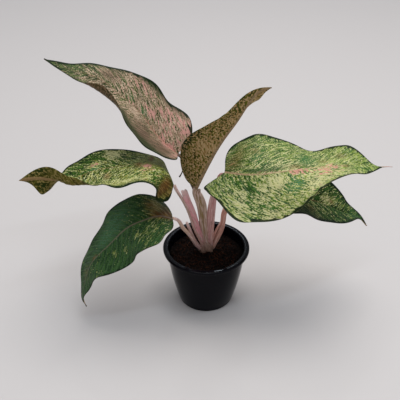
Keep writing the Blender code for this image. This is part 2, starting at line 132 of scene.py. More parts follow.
BLADE_NECK = 2.5 * MM  # half-width of a blade where it meets its petiole
NECK_FADE = 6  # the larger, the shorter the neck
LOBE_REACH = 3.2  # pushes the margin back most, by two thirds of lobe, a ninth of the way up
LOBE_FADE = 4  # the larger, the nearer the lobe keeps to the base
ROW_BOW = 1.3  # how late a row of points turns back toward its lobe
BLADE_TIP = 0.997  # where the outline is closed off, finer than the CAD's 0.988
BLADE_ROWS = 170
BLADE_COLUMNS = 30  # columns of points in each half, besides the midrib
GENICULUM = 4.5 * MM  # last stretch of a petiole, in line with its midrib
PETIOLE_OVERLAP = 0.3 * MM  # how far a petiole runs into its blade
FLAT = [0]


# --- curves -----------------------------------------------------------------------------------

def natural_spline(knots, values, at):
    """A smooth curve with no bend at its ends, through values at knots, read at given places."""
    knots = np.asarray(knots, float)
    values = np.asarray(values, float).reshape(len(knots), -1)
    count = len(knots)
    if count == 1:
        return np.repeat(values, len(at), axis=0)
    steps = np.diff(knots)
    slopes = np.diff(values, axis=0) / steps[:, None]
    system = np.zeros((count, count))
    target = np.zeros(values.shape)
    system[0, 0] = 1.0
    system[-1, -1] = 1.0
    for i in range(1, count - 1):
        system[i, i - 1:i + 2] = (steps[i - 1], 2.0 * (steps[i - 1] + steps[i]), steps[i])
        target[i] = 6.0 * (slopes[i] - slopes[i - 1])
    bend = np.linalg.solve(system, target)
    span = np.clip(np.searchsorted(knots, at) - 1, 0, count - 2)
    past = (np.asarray(at, float) - knots[span])[:, None]
    step = steps[span][:, None]
    linear = slopes[span] - step * (2.0 * bend[span] + bend[span + 1]) / 6.0
    cubic = (bend[span + 1] - bend[span]) / (6.0 * step)
    return values[span] + linear * past + bend[span] / 2.0 * past ** 2 + cubic * past ** 3


def unit(vectors):
    return vectors / np.linalg.norm(vectors, axis=-1, keepdims=True)


def smooth_route(points, count):
    """Evenly spread points along a smooth curve through the given ones, in metres."""
    points = np.asarray(points, float)
    knots = np.concatenate(([0.0], np.cumsum(np.linalg.norm(np.diff(points, axis=0), axis=1))))
    return natural_spline(knots, points, np.linspace(0.0, knots[-1], count))


def keyed(keys, share):
    """Values read from evenly spaced keys along a smooth curve, for shares 0..1."""
    share = np.asarray(share, float)
    values = natural_spline(np.linspace(0.0, 1.0, len(keys)), keys, share.ravel())[:, 0]
    return values.reshape(share.shape)


# --- the blade of a leaf ----------------------------------------------------------------------

class Blade:
    """The middle surface of a leaf: a flat half-outline bent onto a curved midrib."""

    SAMPLES = 240  # points read along the midrib
    STEP = 0.2 * MM  # over which the surface's slope is measured
    LEAST_BEND = 1e-6  # keeps a flat half from dividing by zero

    def __init__(self, leaf):
        self.rib = smooth_route(np.array(leaf["rib"]) * MM, self.SAMPLES)
        strides = np.linalg.norm(np.diff(self.rib, axis=0), axis=1)
        self.arc = np.concatenate(([0.0], np.cumsum(strides)))
        self.length = self.arc[-1]
        self.along = unit(np.gradient(self.rib, self.arc, axis=0))
        heading = self.rib[-1] - self.rib[0]
        level = unit(np.array((heading[1], -heading[0], 0.0)))
        self.side = unit(level - (self.along @ level)[:, None] * self.along)
        self.up = np.cross(self.side, self.along)
        self.half_width = leaf["half_width"] * MM
        self.lobe = leaf["lobe"]
        self.swell = leaf["swell"]
        self.taper = leaf["taper"]
        self.bulges = leaf.get("bulges", [])
        self.neck = leaf.get("neck", BLADE_NECK)
        share = self.arc / self.length
        self.rise = {1: np.radians(keyed(leaf["right"], share)),
                     -1: np.radians(keyed(leaf["left"], share))}
        self.curl = {1: np.radians(keyed(leaf.get("curl_right", FLAT), share)),
                     -1: np.radians(keyed(leaf.get("curl_left", FLAT), share))}

    def outline(self, s, side):
        """Distances along the midrib and out from it, for points s = 0..1 along one margin."""
        widest = self.swell / (self.swell + self.taper)
        full = widest ** self.swell * (1.0 - widest) ** self.taper
        out = self.half_width * s ** self.swell * (1.0 - s) ** self.taper / full
        out = out + self.neck * (1.0 - s) ** NECK_FADE
        for half, place, spread, extra in self.bulges:
            if half == side:
                out = out + extra * MM * np.exp(-((s - place) / spread) ** 2)
        back = LOBE_REACH * self.lobe * np.sqrt(s) * (1.0 - s) ** LOBE_FADE
        along = self.length * (s - back)
        return along, out

    def at(self, along, out, side):
        """The point that lies a distance along the midrib and a distance out from it."""
        on_rib = np.clip(along, 0.0, self.length)

        def read(track):
            return np.stack([np.interp(on_rib, self.arc, track[:, k]) for k in range(3)], -1)

        foot = read(self.rib) + (along - on_rib)[..., None] * self.along[0]
        rise = np.interp(on_rib, self.arc, self.rise[side])
        bend = np.interp(on_rib, self.arc, self.curl[side]) / self.half_width
        bend = np.where(np.abs(bend) < self.LEAST_BEND, self.LEAST_BEND, bend)
        level = (np.sin(rise + bend * out) - np.sin(rise)) / bend
        height = (np.cos(rise) - np.cos(rise + bend * out)) / bend
        level = level[..., None] * unit(read(self.side))
        return foot + side * level + height[..., None] * unit(read(self.up))

    def normal_at(self, along, out, side):
        """The unit normal of the upper face, from two short steps over the surface."""
        step = self.STEP
        forward = self.at(along + step, out, side) - self.at(along - step, out, side)
        outward = self.at(along, out + step, side) - self.at(along, out - step, side)
        return unit(np.cross(side * outward, forward))


# --- the relief of a blade, in millimetres ----------------------------------------------------

VEIN_BEND = 0.0075  # how much more a side vein runs forward near the margin, per mm squared
VEIN_PITCH = 8.5  # distance between side veins along the midrib
QUILT_DEPTH = 0.30  # how deep a side vein lies
QUILT_SHARPNESS = 6.0  # the larger, the narrower the groove of a side vein
QUILT_FADE_EDGE = 6.0  # the side veins' grooves fade this near the margin
QUILT_FADE_RIB = 4.0  # and this near the midrib
RIPPLE_HEIGHT = 0.9  # small waves along the margin
RIPPLE_STRIDE = 5.3
RIPPLE_TWIST = 2.0
RIPPLE_REACH = 9.0  # how far in from the margin the waves reach
RIPPLE_START = 5.0  # the waves grow over the first fifth of the blade
GROOVE_DEPTH = 0.45  # the channel along the midrib on the upper face
GROOVE_SPREAD = 1.4
GROOVE_LOSS = 0.7  # share of its depth that the channel loses toward the tip
HALF_THICKNESS = 0.26
EDGE_BAND = 1.5  # the blade thins over this width at its margin,
EDGE_THINNESS = 0.45  # to this share
KEEL_DEPTH = 1.2  # the midrib under the base of the blade
KEEL_LOSS = 0.9  # how much of that depth is gone at the tip
KEEL_SPREAD = 1.5
COLUMN_BIAS = 1.15  # packs the columns of points nearer the midrib when larger than 1


def leaf_grid(blade):
    """Grids over both halves of a blade: points and normals, in mm the distances along the
    midrib, out from it (right is positive) and in from the margin, and the place across."""
    s = BLADE_TIP * (1.0 - np.cos(np.pi * np.linspace(0.0, 1.0, BLADE_ROWS))) / 2.0
    even = np.linspace(0.0, 1.0, BLADE_COLUMNS + 1)
    share = np.sin(even * np.pi / 2.0)[None, :] ** COLUMN_BIAS
    on_rib = blade.length * s[:, None]
    halves = []
    for side in (1, -1):
        along, out = blade.outline(s, side)
        along_grid = on_rib + (along[:, None] - on_rib) * share ** ROW_BOW
        out_grid = out[:, None] * share
        points = blade.at(along_grid, out_grid, side)
        normals = blade.normal_at(along_grid, out_grid, side)
        edge = (out[:, None] - out_grid) / MM
        across = side * share * np.ones_like(out_grid)
        halves.append((points, normals, along_grid / MM, side * out_grid / MM, edge, across))
    right, left = halves
    right[1][:, 0] = unit(right[1][:, 0] + left[1][:, 0])
    return [np.concatenate((a[:, :0:-1], b), axis=1) for a, b in zip(left, right)]


def leaf_relief(look, along, vein, width, edge, share, across):
    """How far each point of a blade lies above its smooth middle surface."""
    fade = np.clip(edge / QUILT_FADE_EDGE, 0.0, 1.0) * np.clip(width / QUILT_FADE_RIB, 0.0, 1.0)
    between = vein / VEIN_PITCH - np.round(vein / VEIN_PITCH)
    quilt = -QUILT_DEPTH * np.exp(-(between * QUILT_SHARPNESS) ** 2) * fade
    waves = RIPPLE_HEIGHT * np.sin(along / RIPPLE_STRIDE + RIPPLE_TWIST * across)
    ripple = waves * np.clip(1.0 - edge / RIPPLE_REACH, 0.0, 1.0) ** 2
    groove = -GROOVE_DEPTH * np.exp(-(width / GROOVE_SPREAD) ** 2) * (1.0 - GROOVE_LOSS * share)
    return quilt + groove + look["ripple"] * ripple * np.clip(share * RIPPLE_START, 0.0, 1.0)


def sheet_faces(rows, columns):
    """Faces of a thin sheet: an upper grid of points, a lower one, and the rim between."""
    total = rows * columns
    index = np.arange(total).reshape(rows, columns)
    a, b, c, d = index[:-1, :-1], index[:-1, 1:], index[1:, 1:], index[1:, :-1]
    upper = np.stack((a, b, c, d), -1).reshape(-1, 4)
    lower = np.stack((d, c, b, a), -1).reshape(-1, 4) + total
    rim = np.concatenate((index[0, :], index[1:, -1], index[-1, -2::-1], index[-2:0:-1, 0]))
    after = np.roll(rim, -1)
    sides = np.stack((rim, rim + total, after + total, after), -1)
    return np.concatenate((upper, lower, sides)).tolist()


# --- pieces -----------------------------------------------------------------------------------

def add_attribute(mesh, name, values, kind="FLOAT"):
    layer = mesh.attributes.new(name, kind, "POINT")
    field = "value" if kind == "FLOAT" else "vector"
    layer.data.foreach_set(field, np.asarray(values, np.float32).ravel())


def new_piece(name, points, faces, material, replaced):
    mesh = bpy.data.meshes.new(name)
    mesh.from_pydata(np.asarray(points).tolist(), [], faces)
    mesh.update()
    mesh.shade_smooth()
    obj = bpy.data.objects.new(name, mesh)
    bpy.context.scene.collection.objects.link(obj)
    mesh.materials.append(material)
    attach(obj, "root")
    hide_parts(replaced)
    return obj


def tidy_mesh(obj, merge=0.0):
    """Faces turned outward, after points nearer than a distance to each other are merged."""
    work = bmesh.new()
    work.from_mesh(obj.data)
    if merge:
        bmesh.ops.remove_doubles(work, verts=work.verts, dist=merge)
    bmesh.ops.recalc_face_normals(work, faces=work.faces)
    work.to_mesh(obj.data)
    work.free()


# --- where each colour shows on a leaf --------------------------------------------------------

# teal is painted sheen and dark is painted shade; the other kinds are the leaf's own colours.
KINDS = ("pale", "cream", "pink", "brown", "teal_sheen", "dark", "rib", "tan")
HALF_BLEND = 4.0  # how quickly one half's values give way to the other's at the midrib


def both(*keys):
    """The same keys for the right half and the left half of a leaf."""
    return keys, keys


def side_value(pair, across):
    """The first of a pair on the right half, the second on the left, blended at the midrib."""
    blend = np.clip(0.5 + across * HALF_BLEND, 0.0, 1.0)
    return pair[1] + (pair[0] - pair[1]) * blend


def marked(look, kind, share, across):
    """How strongly a kind of colour shows over a leaf: its base values and its soft patches."""
    right, left = (keyed(np.array(keys) / 100.0, share) for keys in look.get(kind, both(0)))
    total = side_value((right, left), across)
    for patch in look["marks"].get(kind, ()):
        place, side, long, wide, amount = (percent / 100.0 for percent in patch)
        reach = ((share - place) / long) ** 2 + ((across - side) / wide) ** 2
        total = total + amount * np.exp(-reach)
    return total


def make_leaf(name, leaf, look):
    blade = Blade(leaf)
    points, normals, along, out, edge, across = leaf_grid(blade)
    width = np.abs(out)
    share = np.clip(along / (blade.length / MM), 0.0, 1.0)
    vein = along - side_value(look["slant"], across) * width - VEIN_BEND * width ** 2
    relief = leaf_relief(look, along, vein, width, edge, share, across)
    half = HALF_THICKNESS * np.clip(edge / EDGE_BAND, EDGE_THINNESS, 1.0)
    keel = (KEEL_DEPTH - KEEL_LOSS * share) * np.exp(-(width / KEEL_SPREAD) ** 2)
    top = points + normals * ((relief + half) * MM)[..., None]
    bottom = points + normals * ((relief - half - keel) * MM)[..., None]
    verts = np.concatenate((top.reshape(-1, 3), bottom.reshape(-1, 3)))
    material = leaf_material(name, look)
    obj = new_piece(name + "_blade", verts, sheet_faces(*along.shape), material, name)
    flat = np.stack((along, out, np.zeros_like(out)), -1).reshape(-1, 3)
    add_attribute(obj.data, "flat", np.concatenate((flat, flat)), "FLOAT_VECTOR")
    values = {"vein": vein, "share": share, "edge": edge}
    values.update({kind: marked(look, kind, share, across) for kind in KINDS})
    for key, grid in values.items():
        add_attribute(obj.data, key, np.concatenate((grid.ravel(), grid.ravel())))
    add_attribute(obj.data, "under", np.repeat((0.0, 1.0), along.size))
    tidy_mesh(obj)


# --- materials --------------------------------------------------------------------------------

class Nodes:
    """Short calls for building one material's nodes."""

    def __init__(self, name):
        self.material = bpy.data.materials.new(name)
        self.material.use_nodes = True
        self.tree = self.material.node_tree
        self.shader = self.tree.nodes["Principled BSDF"]

    def new(self, kind, **settings):
        node = self.tree.nodes.new(kind)
        for key, value in settings.items():
            setattr(node, key, value)
        return node

    def feed(self, socket, value):
        if isinstance(value, bpy.types.NodeSocket):
            self.tree.links.new(value, socket)
        elif isinstance(value, tuple) and len(value) == 3 and socket.type == "RGBA":
            socket.default_value = (*value, 1.0)
        else:
            socket.default_value = value

    def attribute(self, name, output="Fac"):
        return self.new("ShaderNodeAttribute", attribute_name=name).outputs[output]

    def place(self):
        return self.new("ShaderNodeTexCoord").outputs["Object"]

    def math(self, operation, a, b=0.0, c=0.0):
        node = self.new("ShaderNodeMath", operation=operation)
        for socket, value in zip(node.inputs, (a, b, c)):
            self.feed(socket, value)
        return node.outputs[0]

    def plus(self, a, b):
        return self.math("ADD", a, b)

    def times(self, a, b):
        return self.math("MULTIPLY", a, b)

    def blend(self, a, b, share_of_b):
        return self.plus(self.times(a, 1.0 - share_of_b), self.times(b, share_of_b))

    def combine(self, x, y, z=0.0):
        node = self.new("ShaderNodeCombineXYZ")
        for socket, value in zip(node.inputs, (x, y, z)):
            self.feed(socket, value)
        return node.outputs[0]

    def noise(self, vector, scale, detail=2.0, roughness=0.5):
        node = self.new("ShaderNodeTexNoise")
        self.feed(node.inputs["Vector"], vector)
        for name, setting in zip(("Scale", "Detail", "Roughness"), (scale, detail, roughness)):
            node.inputs[name].default_value = setting
        return node.outputs["Fac"]

    def step(self, value, low, high):
        """0 below low, 1 above high, smooth between them; low may be the larger."""
        node = self.new("ShaderNodeMapRange", interpolation_type="SMOOTHSTEP")
        self.feed(node.inputs["Value"], value)
        node.inputs["From Min"].default_value = low
        node.inputs["From Max"].default_value = high
        return node.outputs["Result"]

    def mix(self, factor, a, b):
        node = self.new("ShaderNodeMix", data_type="RGBA")
        self.feed(node.inputs[0], factor)
        self.feed(node.inputs[6], a)
        self.feed(node.inputs[7], b)
        return node.outputs[2]

    def ramp(self, value, low, high, a, b, most=1.0):
        """Colour a where a value lies below low, and at most a given share of b above high."""
        factor = self.step(value, low, high)
        return self.mix(self.times(factor, most) if most < 1.0 else factor, a, b)

    def bump(self, height, strength, distance):
        node = self.new("ShaderNodeBump")
        node.inputs["Strength"].default_value = strength
        node.inputs["Distance"].default_value = distance
        self.feed(node.inputs["Height"], height)
        self.feed(self.shader.inputs["Normal"], node.outputs["Normal"])

    def surface(self, colour, roughness, specular):
        self.feed(self.shader.inputs["Base Color"], colour)
        self.feed(self.shader.inputs["Roughness"], roughness)
        self.shader.inputs["Specular IOR Level"].default_value = specular
        return self.material


# Colours are linear, and were matched region by region to the photograph.
# A look's pale, cream, pink, rib and tan are keyed from the stalk to the tip, for the right half
# and the left half. They push the share of that colour up or down.
# slant is how far forward the side veins run for each step out, right and left; ripple scales the
# waves of the margin; soft is how soft the edges of the flecks are; run is how quickly a streak
# changes along a vein; veins is how much the vein lines show; margin is the width of the dark
# margin in millimetres; spots is the cells a millimetre in the underside's spots; grain is the
# share of fine grain in the flecks; gloss is the level of the shine.
# marks: soft patches for each kind of colour, as (place along, place across, long, wide, amount).
# The teal marks are painted sheen and the dark marks painted shade.
# Across runs from the left margin at -100 over the midrib at 0 to the right margin at 100.
# Keys and marks are in percent.

MARGIN = (0.005, 0.013, 0.004)
# painted sheen: a bluish teal that stands in for the shine on the leaves' upper faces
TEAL_SHEEN = (0.060, 0.180, 0.085)

PLAIN_LOOK = dict(
    ripple=0.5, soft=0.028, run=0.20, veins=0.12, gloss=0.08, spots=0.42, grain=0.36,
    deep=(0.007, 0.020, 0.004), green=(0.050, 0.130, 0.016), middle=(0.150, 0.200, 0.030),
    light=(0.300, 0.370, 0.090), bright=(0.56, 0.58, 0.36), cream_colour=(0.490, 0.460, 0.220),
    pink_colour=(0.500, 0.225, 0.165), brown_colour=(0.100, 0.048, 0.012),
    warm=(0.26, 0.15, 0.05), vein_colour=(0.16, 0.22, 0.13), rib_colour=(0.480, 0.190, 0.130),
    under_dark=(0.032, 0.026, 0.005), under_olive=(0.095, 0.075, 0.012),
    under_brown=(0.190, 0.105, 0.030), under_tan=(0.400, 0.245, 0.105),
    keel=(0.26, 0.16, 0.075),
)

LOOKS = {
    "leaf_right": dict(
        slant=(0.55, 1.7), margin=2.6, run=0.22, grain=0.42, soft=0.05, veins=0.3,
        deep=(0.02, 0.05, 0.01), rib_colour=(0.42, 0.25, 0.16),
        pale=((10, 30, 40, 40, 50, 30, 10, 0), (-40, -20, -10, 0, 10, 20, 10, 0)),
        cream=((10, 30, 30, 30, 40, -20, -60), (20, 30, 20, 20, 10, -20, -60)),
        pink=((-90, -80, -70, -30, -50, -100), (-30, -40, -60, -70, -80, -100)),
        rib=both(70, 60, 50, 60, 70, 30, 10, 0),
        marks=dict(
            pink=[(46, 2, 4.5, 8, 150), (64, -10, 3, 11, 130), (59, 14, 9, 18, 80), (62, 35, 5, 30, 80),
                  (47, 10, 7, 12, 90), (30, -4, 10, 5, 140), (68, 10, 3, 20, 120), (5, -20, 6, 40, 60)],
            pale=[(46, 2, 4.5, 7, 60), (64, -10, 3, 10, 60), (18, 35, 3, 20, -60), (30, 65, 3, 20, -50),
                  (33, 22, 3.5, 14, 80), (43, 38, 6, 26, -70), (61, 16, 6, 22, 50),
                  (12, 25, 8, 18, -60), (22, 70, 6, 20, -50), (53, -40, 5, 30, -60)],
            cream=[(15, 60, 3, 20, 80), (24, 45, 3, 20, 80), (28, 85, 4, 15, 90), (53, 55, 4, 25, 80),
                   (33, 22, 5, 18, 90), (40, -20, 12, 12, 90)],
            teal_sheen=[(43, 38, 6, 26, 80), (20, -45, 5, 20, 50), (53, -40, 6, 30, 45)],
            dark=[(36, -10, 5, 5, 60), (55, -10, 4, 6, 60), (24, -8, 10, 5, 90), (16, -10, 4, 6, 60),
                  (83, -100, 5, 18, 90), (45, 100, 7, 10, 70), (10, -100, 10, 10, 70)],
            brown=[(74, 15, 3, 12, 80), (4, -45, 8, 50, 55), (20, -58, 5, 14, 50), (63, -30, 4, 15, 50),
                   (74, -45, 5, 20, 50), (45, -12, 6, 10, 60)],
        )),
    "leaf_back_left": dict(
        slant=(1.3, 1.3), ripple=0.7, margin=3.2, grain=0.46, soft=0.045, green=(0.085, 0.115, 0.034),
        deep=(0.018, 0.03, 0.009), gloss=0.05, middle=(0.19, 0.125, 0.078), light=(0.33, 0.215, 0.14),
        cream_colour=(0.43, 0.33, 0.23), pink_colour=(0.48, 0.235, 0.2),
        brown_colour=(0.1, 0.062, 0.04), warm=(0.21, 0.135, 0.09), bright=(0.58, 0.44, 0.33),
        pale=((50, 50, 30, 20, 10, -20, -80, -110), (60, 30, 20, 20, 10, -30, -70, -110)),
        cream=((10, 10, 10, 20, 20, -20, -80), (20, -10, -30, 10, 10, -30, -60)),
        pink=((50, 30, 20, 10, -20, -80, -120), (70, 0, -50, -40, -40, -80, -120)),
        rib=both(30, 30, 10, 10, 10, 0), under_dark=(0.058, 0.042, 0.018),
        under_olive=(0.085, 0.062, 0.024), under_brown=(0.13, 0.08, 0.04),
        under_tan=(0.21, 0.135, 0.075),
        marks=dict(
            pink=[(5, 80, 4, 20, 90), (21, 60, 7, 22, 80), (30, 30, 5, 15, 70), (44, 65, 6, 20, 80),
                  (10, -25, 4, 20, 90), (9, 0, 8, 12, 120)],
            teal_sheen=[(33, 12, 4, 12, 60), (45, 15, 3, 12, 50)],
            pale=[(33, 12, 4, 12, -60), (45, 15, 3, 12, -50), (36, -15, 6, 12, 80)],
            brown=[(20, 100, 12, 18, 100), (62, 50, 8, 50, 70), (8, -50, 7, 40, 70),
                   (25, -60, 13, 50, 90)],
            dark=[(40, 100, 13, 16, 140), (74, 100, 13, 20, 130), (28, -100, 26, 28, 160),
                  (45, -75, 5, 30, 90)],
            cream=[(36, -15, 6, 12, 90)],
        )),
    "leaf_left": dict(
        slant=(0.9, 0.9), ripple=0.4, margin=3.4, gloss=0.02, grain=0.45, light=(0.265, 0.31, 0.085),
        middle=(0.18, 0.175, 0.024), green=(0.05, 0.11, 0.014),
        pale=((-30, -10, -30, -20, -30, -40, -60), (-70, -20, 0, 0, -10, -20, -40)),
        cream=((-50, -40, 0, 0, 0, -30), (0, 0, 0, 20, 20, -20)),
        pink=((-100, -60, -100, -80, -50, -100), (-80, -30, -90, -90, -80, -100)),
        rib=both(0, 10, 15, 10, 0), tan=both(-40), under_dark=(0.045, 0.04, 0.006),
        under_olive=(0.105, 0.095, 0.015), under_brown=(0.15, 0.11, 0.03), under_tan=(0.23, 0.18, 0.06),
        marks=dict(
            pale=[(16, 50, 12, 60, 90), (42, 65, 4, 25, 90), (53, 28, 4, 12, 100), (58, 70, 8, 25, -50),
                  (22, -20, 3, 22, 90), (33, -76, 12, 10, 80)],
            cream=[(18, 50, 12, 60, -60), (42, 65, 4.5, 25, 150), (47, -35, 3, 20, 80),
                   (33, -76, 12, 10, 40)],
            brown=[(21, 60, 2, 40, 90), (27, -5, 4, 20, 70), (46, -35, 3, 20, 70),
                   (4, -60, 6, 60, 100)],
            pink=[(53, 30, 3.5, 10, 220), (22, -20, 3.5, 22, 190)],
            teal_sheen=[(53, 8, 4, 10, 90)],
            dark=[(33, -100, 20, 12, 120), (60, 100, 20, 8, 80), (9, -95, 5, 25, 80),
                  (84, 50, 6, 50, 70), (86, -70, 7, 40, 70)],
            tan=[(77, 30, 3.5, 80, 90), (71, -60, 4, 30, 50)],
        )),
    "leaf_front_left": dict(
        slant=(0.8, 0.8), ripple=0.8, green=(0.038, 0.092, 0.022), deep=(0.011, 0.034, 0.009),
        margin=1.8, veins=0.45, middle=(0.115, 0.145, 0.03), light=(0.24, 0.27, 0.075),
        pale=((-50, -70, -110, -140, -130, -130, -100), (-50, -70, -110, -120, -110, -120, -100)),
        cream=((0, -40, -60, -40, -40, -40), (0, -50, -80, -80, -40, -40)), pink=both(-100),
        rib=both(90, 70, 60, 50, 50, 30, 10), rib_colour=(0.19, 0.14, 0.1),
        # its pale teal vein lines are partly the veins' own colour and partly painted highlight along
        # them
        vein_colour=(0.085, 0.13, 0.08), gloss=0.1,
        marks=dict(
            brown=[(2, 30, 5, 60, 100), (5, 0, 7, 12, 120), (12.5, 55, 5, 30, 70), (10, 15, 6, 20, 60),
                   (62, 8, 3, 10, 70), (75, 10, 8, 50, 35)],
            pale=[(4, 0, 6, 16, 150), (11, 58, 3, 25, 120), (8, 30, 6, 40, 80), (46, 45, 2, 20, 80),
                  (58, 40, 2, 20, 70), (17, -45, 5, 20, 70), (25, -40, 3, 15, 120),
                  (40, -55, 2, 12, 160), (48, -38, 2, 12, 160), (63, -80, 3, 15, 80)],
            teal_sheen=[(40, 50, 16, 45, 60), (52, 30, 12, 30, 30)],
            dark=[(30, -90, 20, 15, 50), (20, 100, 20, 12, 60)],
        )),
    "leaf_upright": dict(
        slant=(1.1, 1.1), ripple=0.3, spots=0.4, margin=0.8, pink=both(-40), rib=both(80, 60, 30, 10),
        tan=((0, 10, 20, 10, -10, -10, 0), (10, 20, 20, 10, 10, 40, 20)), keel=(0.3, 0.2, 0.12),
        under_dark=(0.036, 0.04, 0.004), under_olive=(0.11, 0.105, 0.01),
        under_brown=(0.26, 0.155, 0.05), under_tan=(0.47, 0.32, 0.16),
        marks=dict(
            tan=[(36, 35, 5, 25, 90), (35, 95, 18, 20, -60), (66, 25, 5, 20, 80), (62, -20, 5, 30, 60)],
            dark=[(35, 95, 18, 15, 90), (68, 50, 8, 40, 50), (55, -45, 5, 30, 50),
                  (30, -55, 2, 20, 60)],
        )),
    "leaf_lower_right": dict(
        slant=(0.9, 0.9), green=(0.034, 0.09, 0.016), middle=(0.085, 0.135, 0.024),
        light=(0.19, 0.24, 0.055), veins=0.08, margin=3.0,
        pale=((-20, -20, -20, -60, -90), (-10, -10, -20, -50, -90)), cream=both(0, 0, -60),
        pink=both(-100), rib=both(60, 40, 0, 0),
        marks=dict(
            dark=[(40, 80, 10, 40, 80), (60, 100, 25, 15, 90), (65, -100, 20, 12, 90)],
            pale=[(59, -18, 3, 16, 170), (65, -30, 3, 14, 150)],
            cream=[(59, -18, 3, 18, 70)],
            brown=[(63, -22, 3, 12, 70), (46, 50, 5, 25, 50)],
            teal_sheen=[(88, 0, 8, 80, 40)],
        )),
}


# Streaks of noise run along the side veins. Each is given by its cells in a millimetre across
# the veins, its cells in a millimetre along them (as a share of the look's run, for three of
# them), and a shift that keeps the sizes from sharing one pattern.
FLECK_STREAKS = (0.46, 1.0, 0.0)
BROAD_STREAKS = (0.30, 0.7, 6.0)
NARROW_STREAKS = (0.55, 1.3, 12.0)
COARSE_STREAKS = (0.14, 0.07, 3.0)
GLINT_STREAKS = (0.62, 0.36, 20.0)
HALF_SHIFT = 9.0  # shifts the right half's noise from the left half's
FINE_GRAIN = 0.62  # cells in a millimetre
CLOUD_GRAIN = 0.16
COARSE_SHARE = 0.22  # of the coarse streaks in the pattern of flecks

# The most that each thing covers what lies under it.
GLINT_COVER = 0.5
CLOUD_COVER = 0.30
DARK_COVER = 0.85
MARGIN_COVER = 0.93
KEEL_COVER = 0.7

# Lines on a leaf, in millimetres from their middle. A pair with two places fades between them;
# RIB_RAGGED and MARGIN_UNEVEN are the factor and offset that turn a noise into millimetres.
VEIN_LINE = (0.75, 0.15)
RIB_WIDTH = 1.05  # at the base of the blade
RIB_TAPER = -0.75  # added to it by the tip
RIB_RAGGED = (1.6, -0.8)
RIB_SOFT = (0.40, -0.30)
MARGIN_SOFT = 0.7
MARGIN_UNEVEN = (9.0, -4.5)
MARGIN_RAGGED = 1.2
KEEL_EDGE = (2.4, 1.2)
PAST_THE_BASE = 400.0 * VEIN_PITCH  # keeps the side veins' coordinate above zero
LEAF_ROUGHNESS = 0.48


def leaf_noises(nodes, look):
    """The noises that a leaf's colours are made from, and its vein and width coordinates."""
    flat = nodes.attribute("flat", "Vector")
    split = nodes.new("ShaderNodeSeparateXYZ")
    nodes.feed(split.inputs[0], flat)
    signed = split.outputs[1]
    vein = nodes.attribute("vein")
    width = nodes.math("ABSOLUTE", signed)
    half = nodes.times(nodes.math("SIGN", signed), HALF_SHIFT)

    def streaks(across, along, shift, run=1.0):
        place = nodes.combine(nodes.times(vein, across), nodes.times(width, along * run),
                              nodes.plus(half, shift))
        return nodes.noise(place, 1.0)

    run = look["run"]
    fleck = streaks(*FLECK_STREAKS, run)
    coarse = streaks(*COARSE_STREAKS)
    fine = nodes.noise(flat, FINE_GRAIN)
    pattern = nodes.blend(nodes.blend(fleck, fine, look["grain"]), coarse, COARSE_SHARE)
    return SimpleNamespace(
        vein=vein, width=width, fleck=fleck, coarse=coarse, fine=fine, pattern=pattern,
        broad=streaks(*BROAD_STREAKS, run), narrow=streaks(*NARROW_STREAKS, run),
        glint=streaks(*GLINT_STREAKS), cloud=nodes.noise(flat, CLOUD_GRAIN, 3.0),
        spot=nodes.blend(nodes.noise(flat, look["spots"], 1.0), fleck, 0.3))


def where(nodes, noise, kind, middle, gain, soft):
    """1 where a noise lies over a threshold that falls as the mark's value rises."""
    lift = nodes.times(nodes.attribute(kind), gain)
    return nodes.step(nodes.plus(noise, lift), middle - soft, middle + soft)


def flecked(nodes, look, noise):
    """Two greens, with a painted bluish sheen where the teal marks lie, and over them flecks that run
    from olive to cream, pink and bright.
    """
    mottle = nodes.blend(noise.broad, noise.fine, 0.5)
    green = nodes.ramp(mottle, 0.42, 0.57, look["deep"], look["green"])
    # painted sheen: where the teal marks lie, the green gives way to this bluish teal
    teal_sheen = nodes.ramp(noise.fine, 0.40, 0.58, TEAL_SHEEN, look["green"])
    green = nodes.ramp(nodes.attribute("teal_sheen"), 0.05, 0.9, green, teal_sheen)
    light = nodes.ramp(noise.narrow, 0.36, 0.60, look["middle"], look["light"])
    creamy = where(nodes, nodes.blend(noise.narrow, noise.fine, 0.4), "cream", 0.55, 0.12, 0.05)
    light = nodes.mix(creamy, light, look["cream_colour"])
    pinkish = where(nodes, noise.broad, "pink", 0.62, 0.15, 0.04)
    light = nodes.mix(pinkish, light, look["pink_colour"])
    light = nodes.ramp(noise.glint, 0.56, 0.66, light, look["bright"], GLINT_COVER)
    return nodes.mix(where(nodes, noise.pattern, "pale", 0.50, 0.10, look["soft"]), green, light)


def stained(nodes, look, noise, colour):
    """Soft darker clouds, brown stains, and dark patches of painted shade over a leaf's flecks."""
    colour = nodes.ramp(noise.cloud, 0.50, 0.32, colour, look["deep"], CLOUD_COVER)
    warm = nodes.mix(where(nodes, noise.broad, "brown", 0.58, 0.0, 0.12), look["brown_colour"],
                     look["warm"])
    stain = nodes.times(nodes.step(nodes.attribute("brown"), 0.05, 1.0),
                        where(nodes, noise.pattern, "brown", 0.46, 0.08, 0.10))
    colour = nodes.mix(stain, colour, warm)
    # painted shade: the dark marks deepen the colour toward the leaf's deep green
    return nodes.ramp(nodes.attribute("dark"), 0.0, 1.0, colour, look["deep"], DARK_COVER)


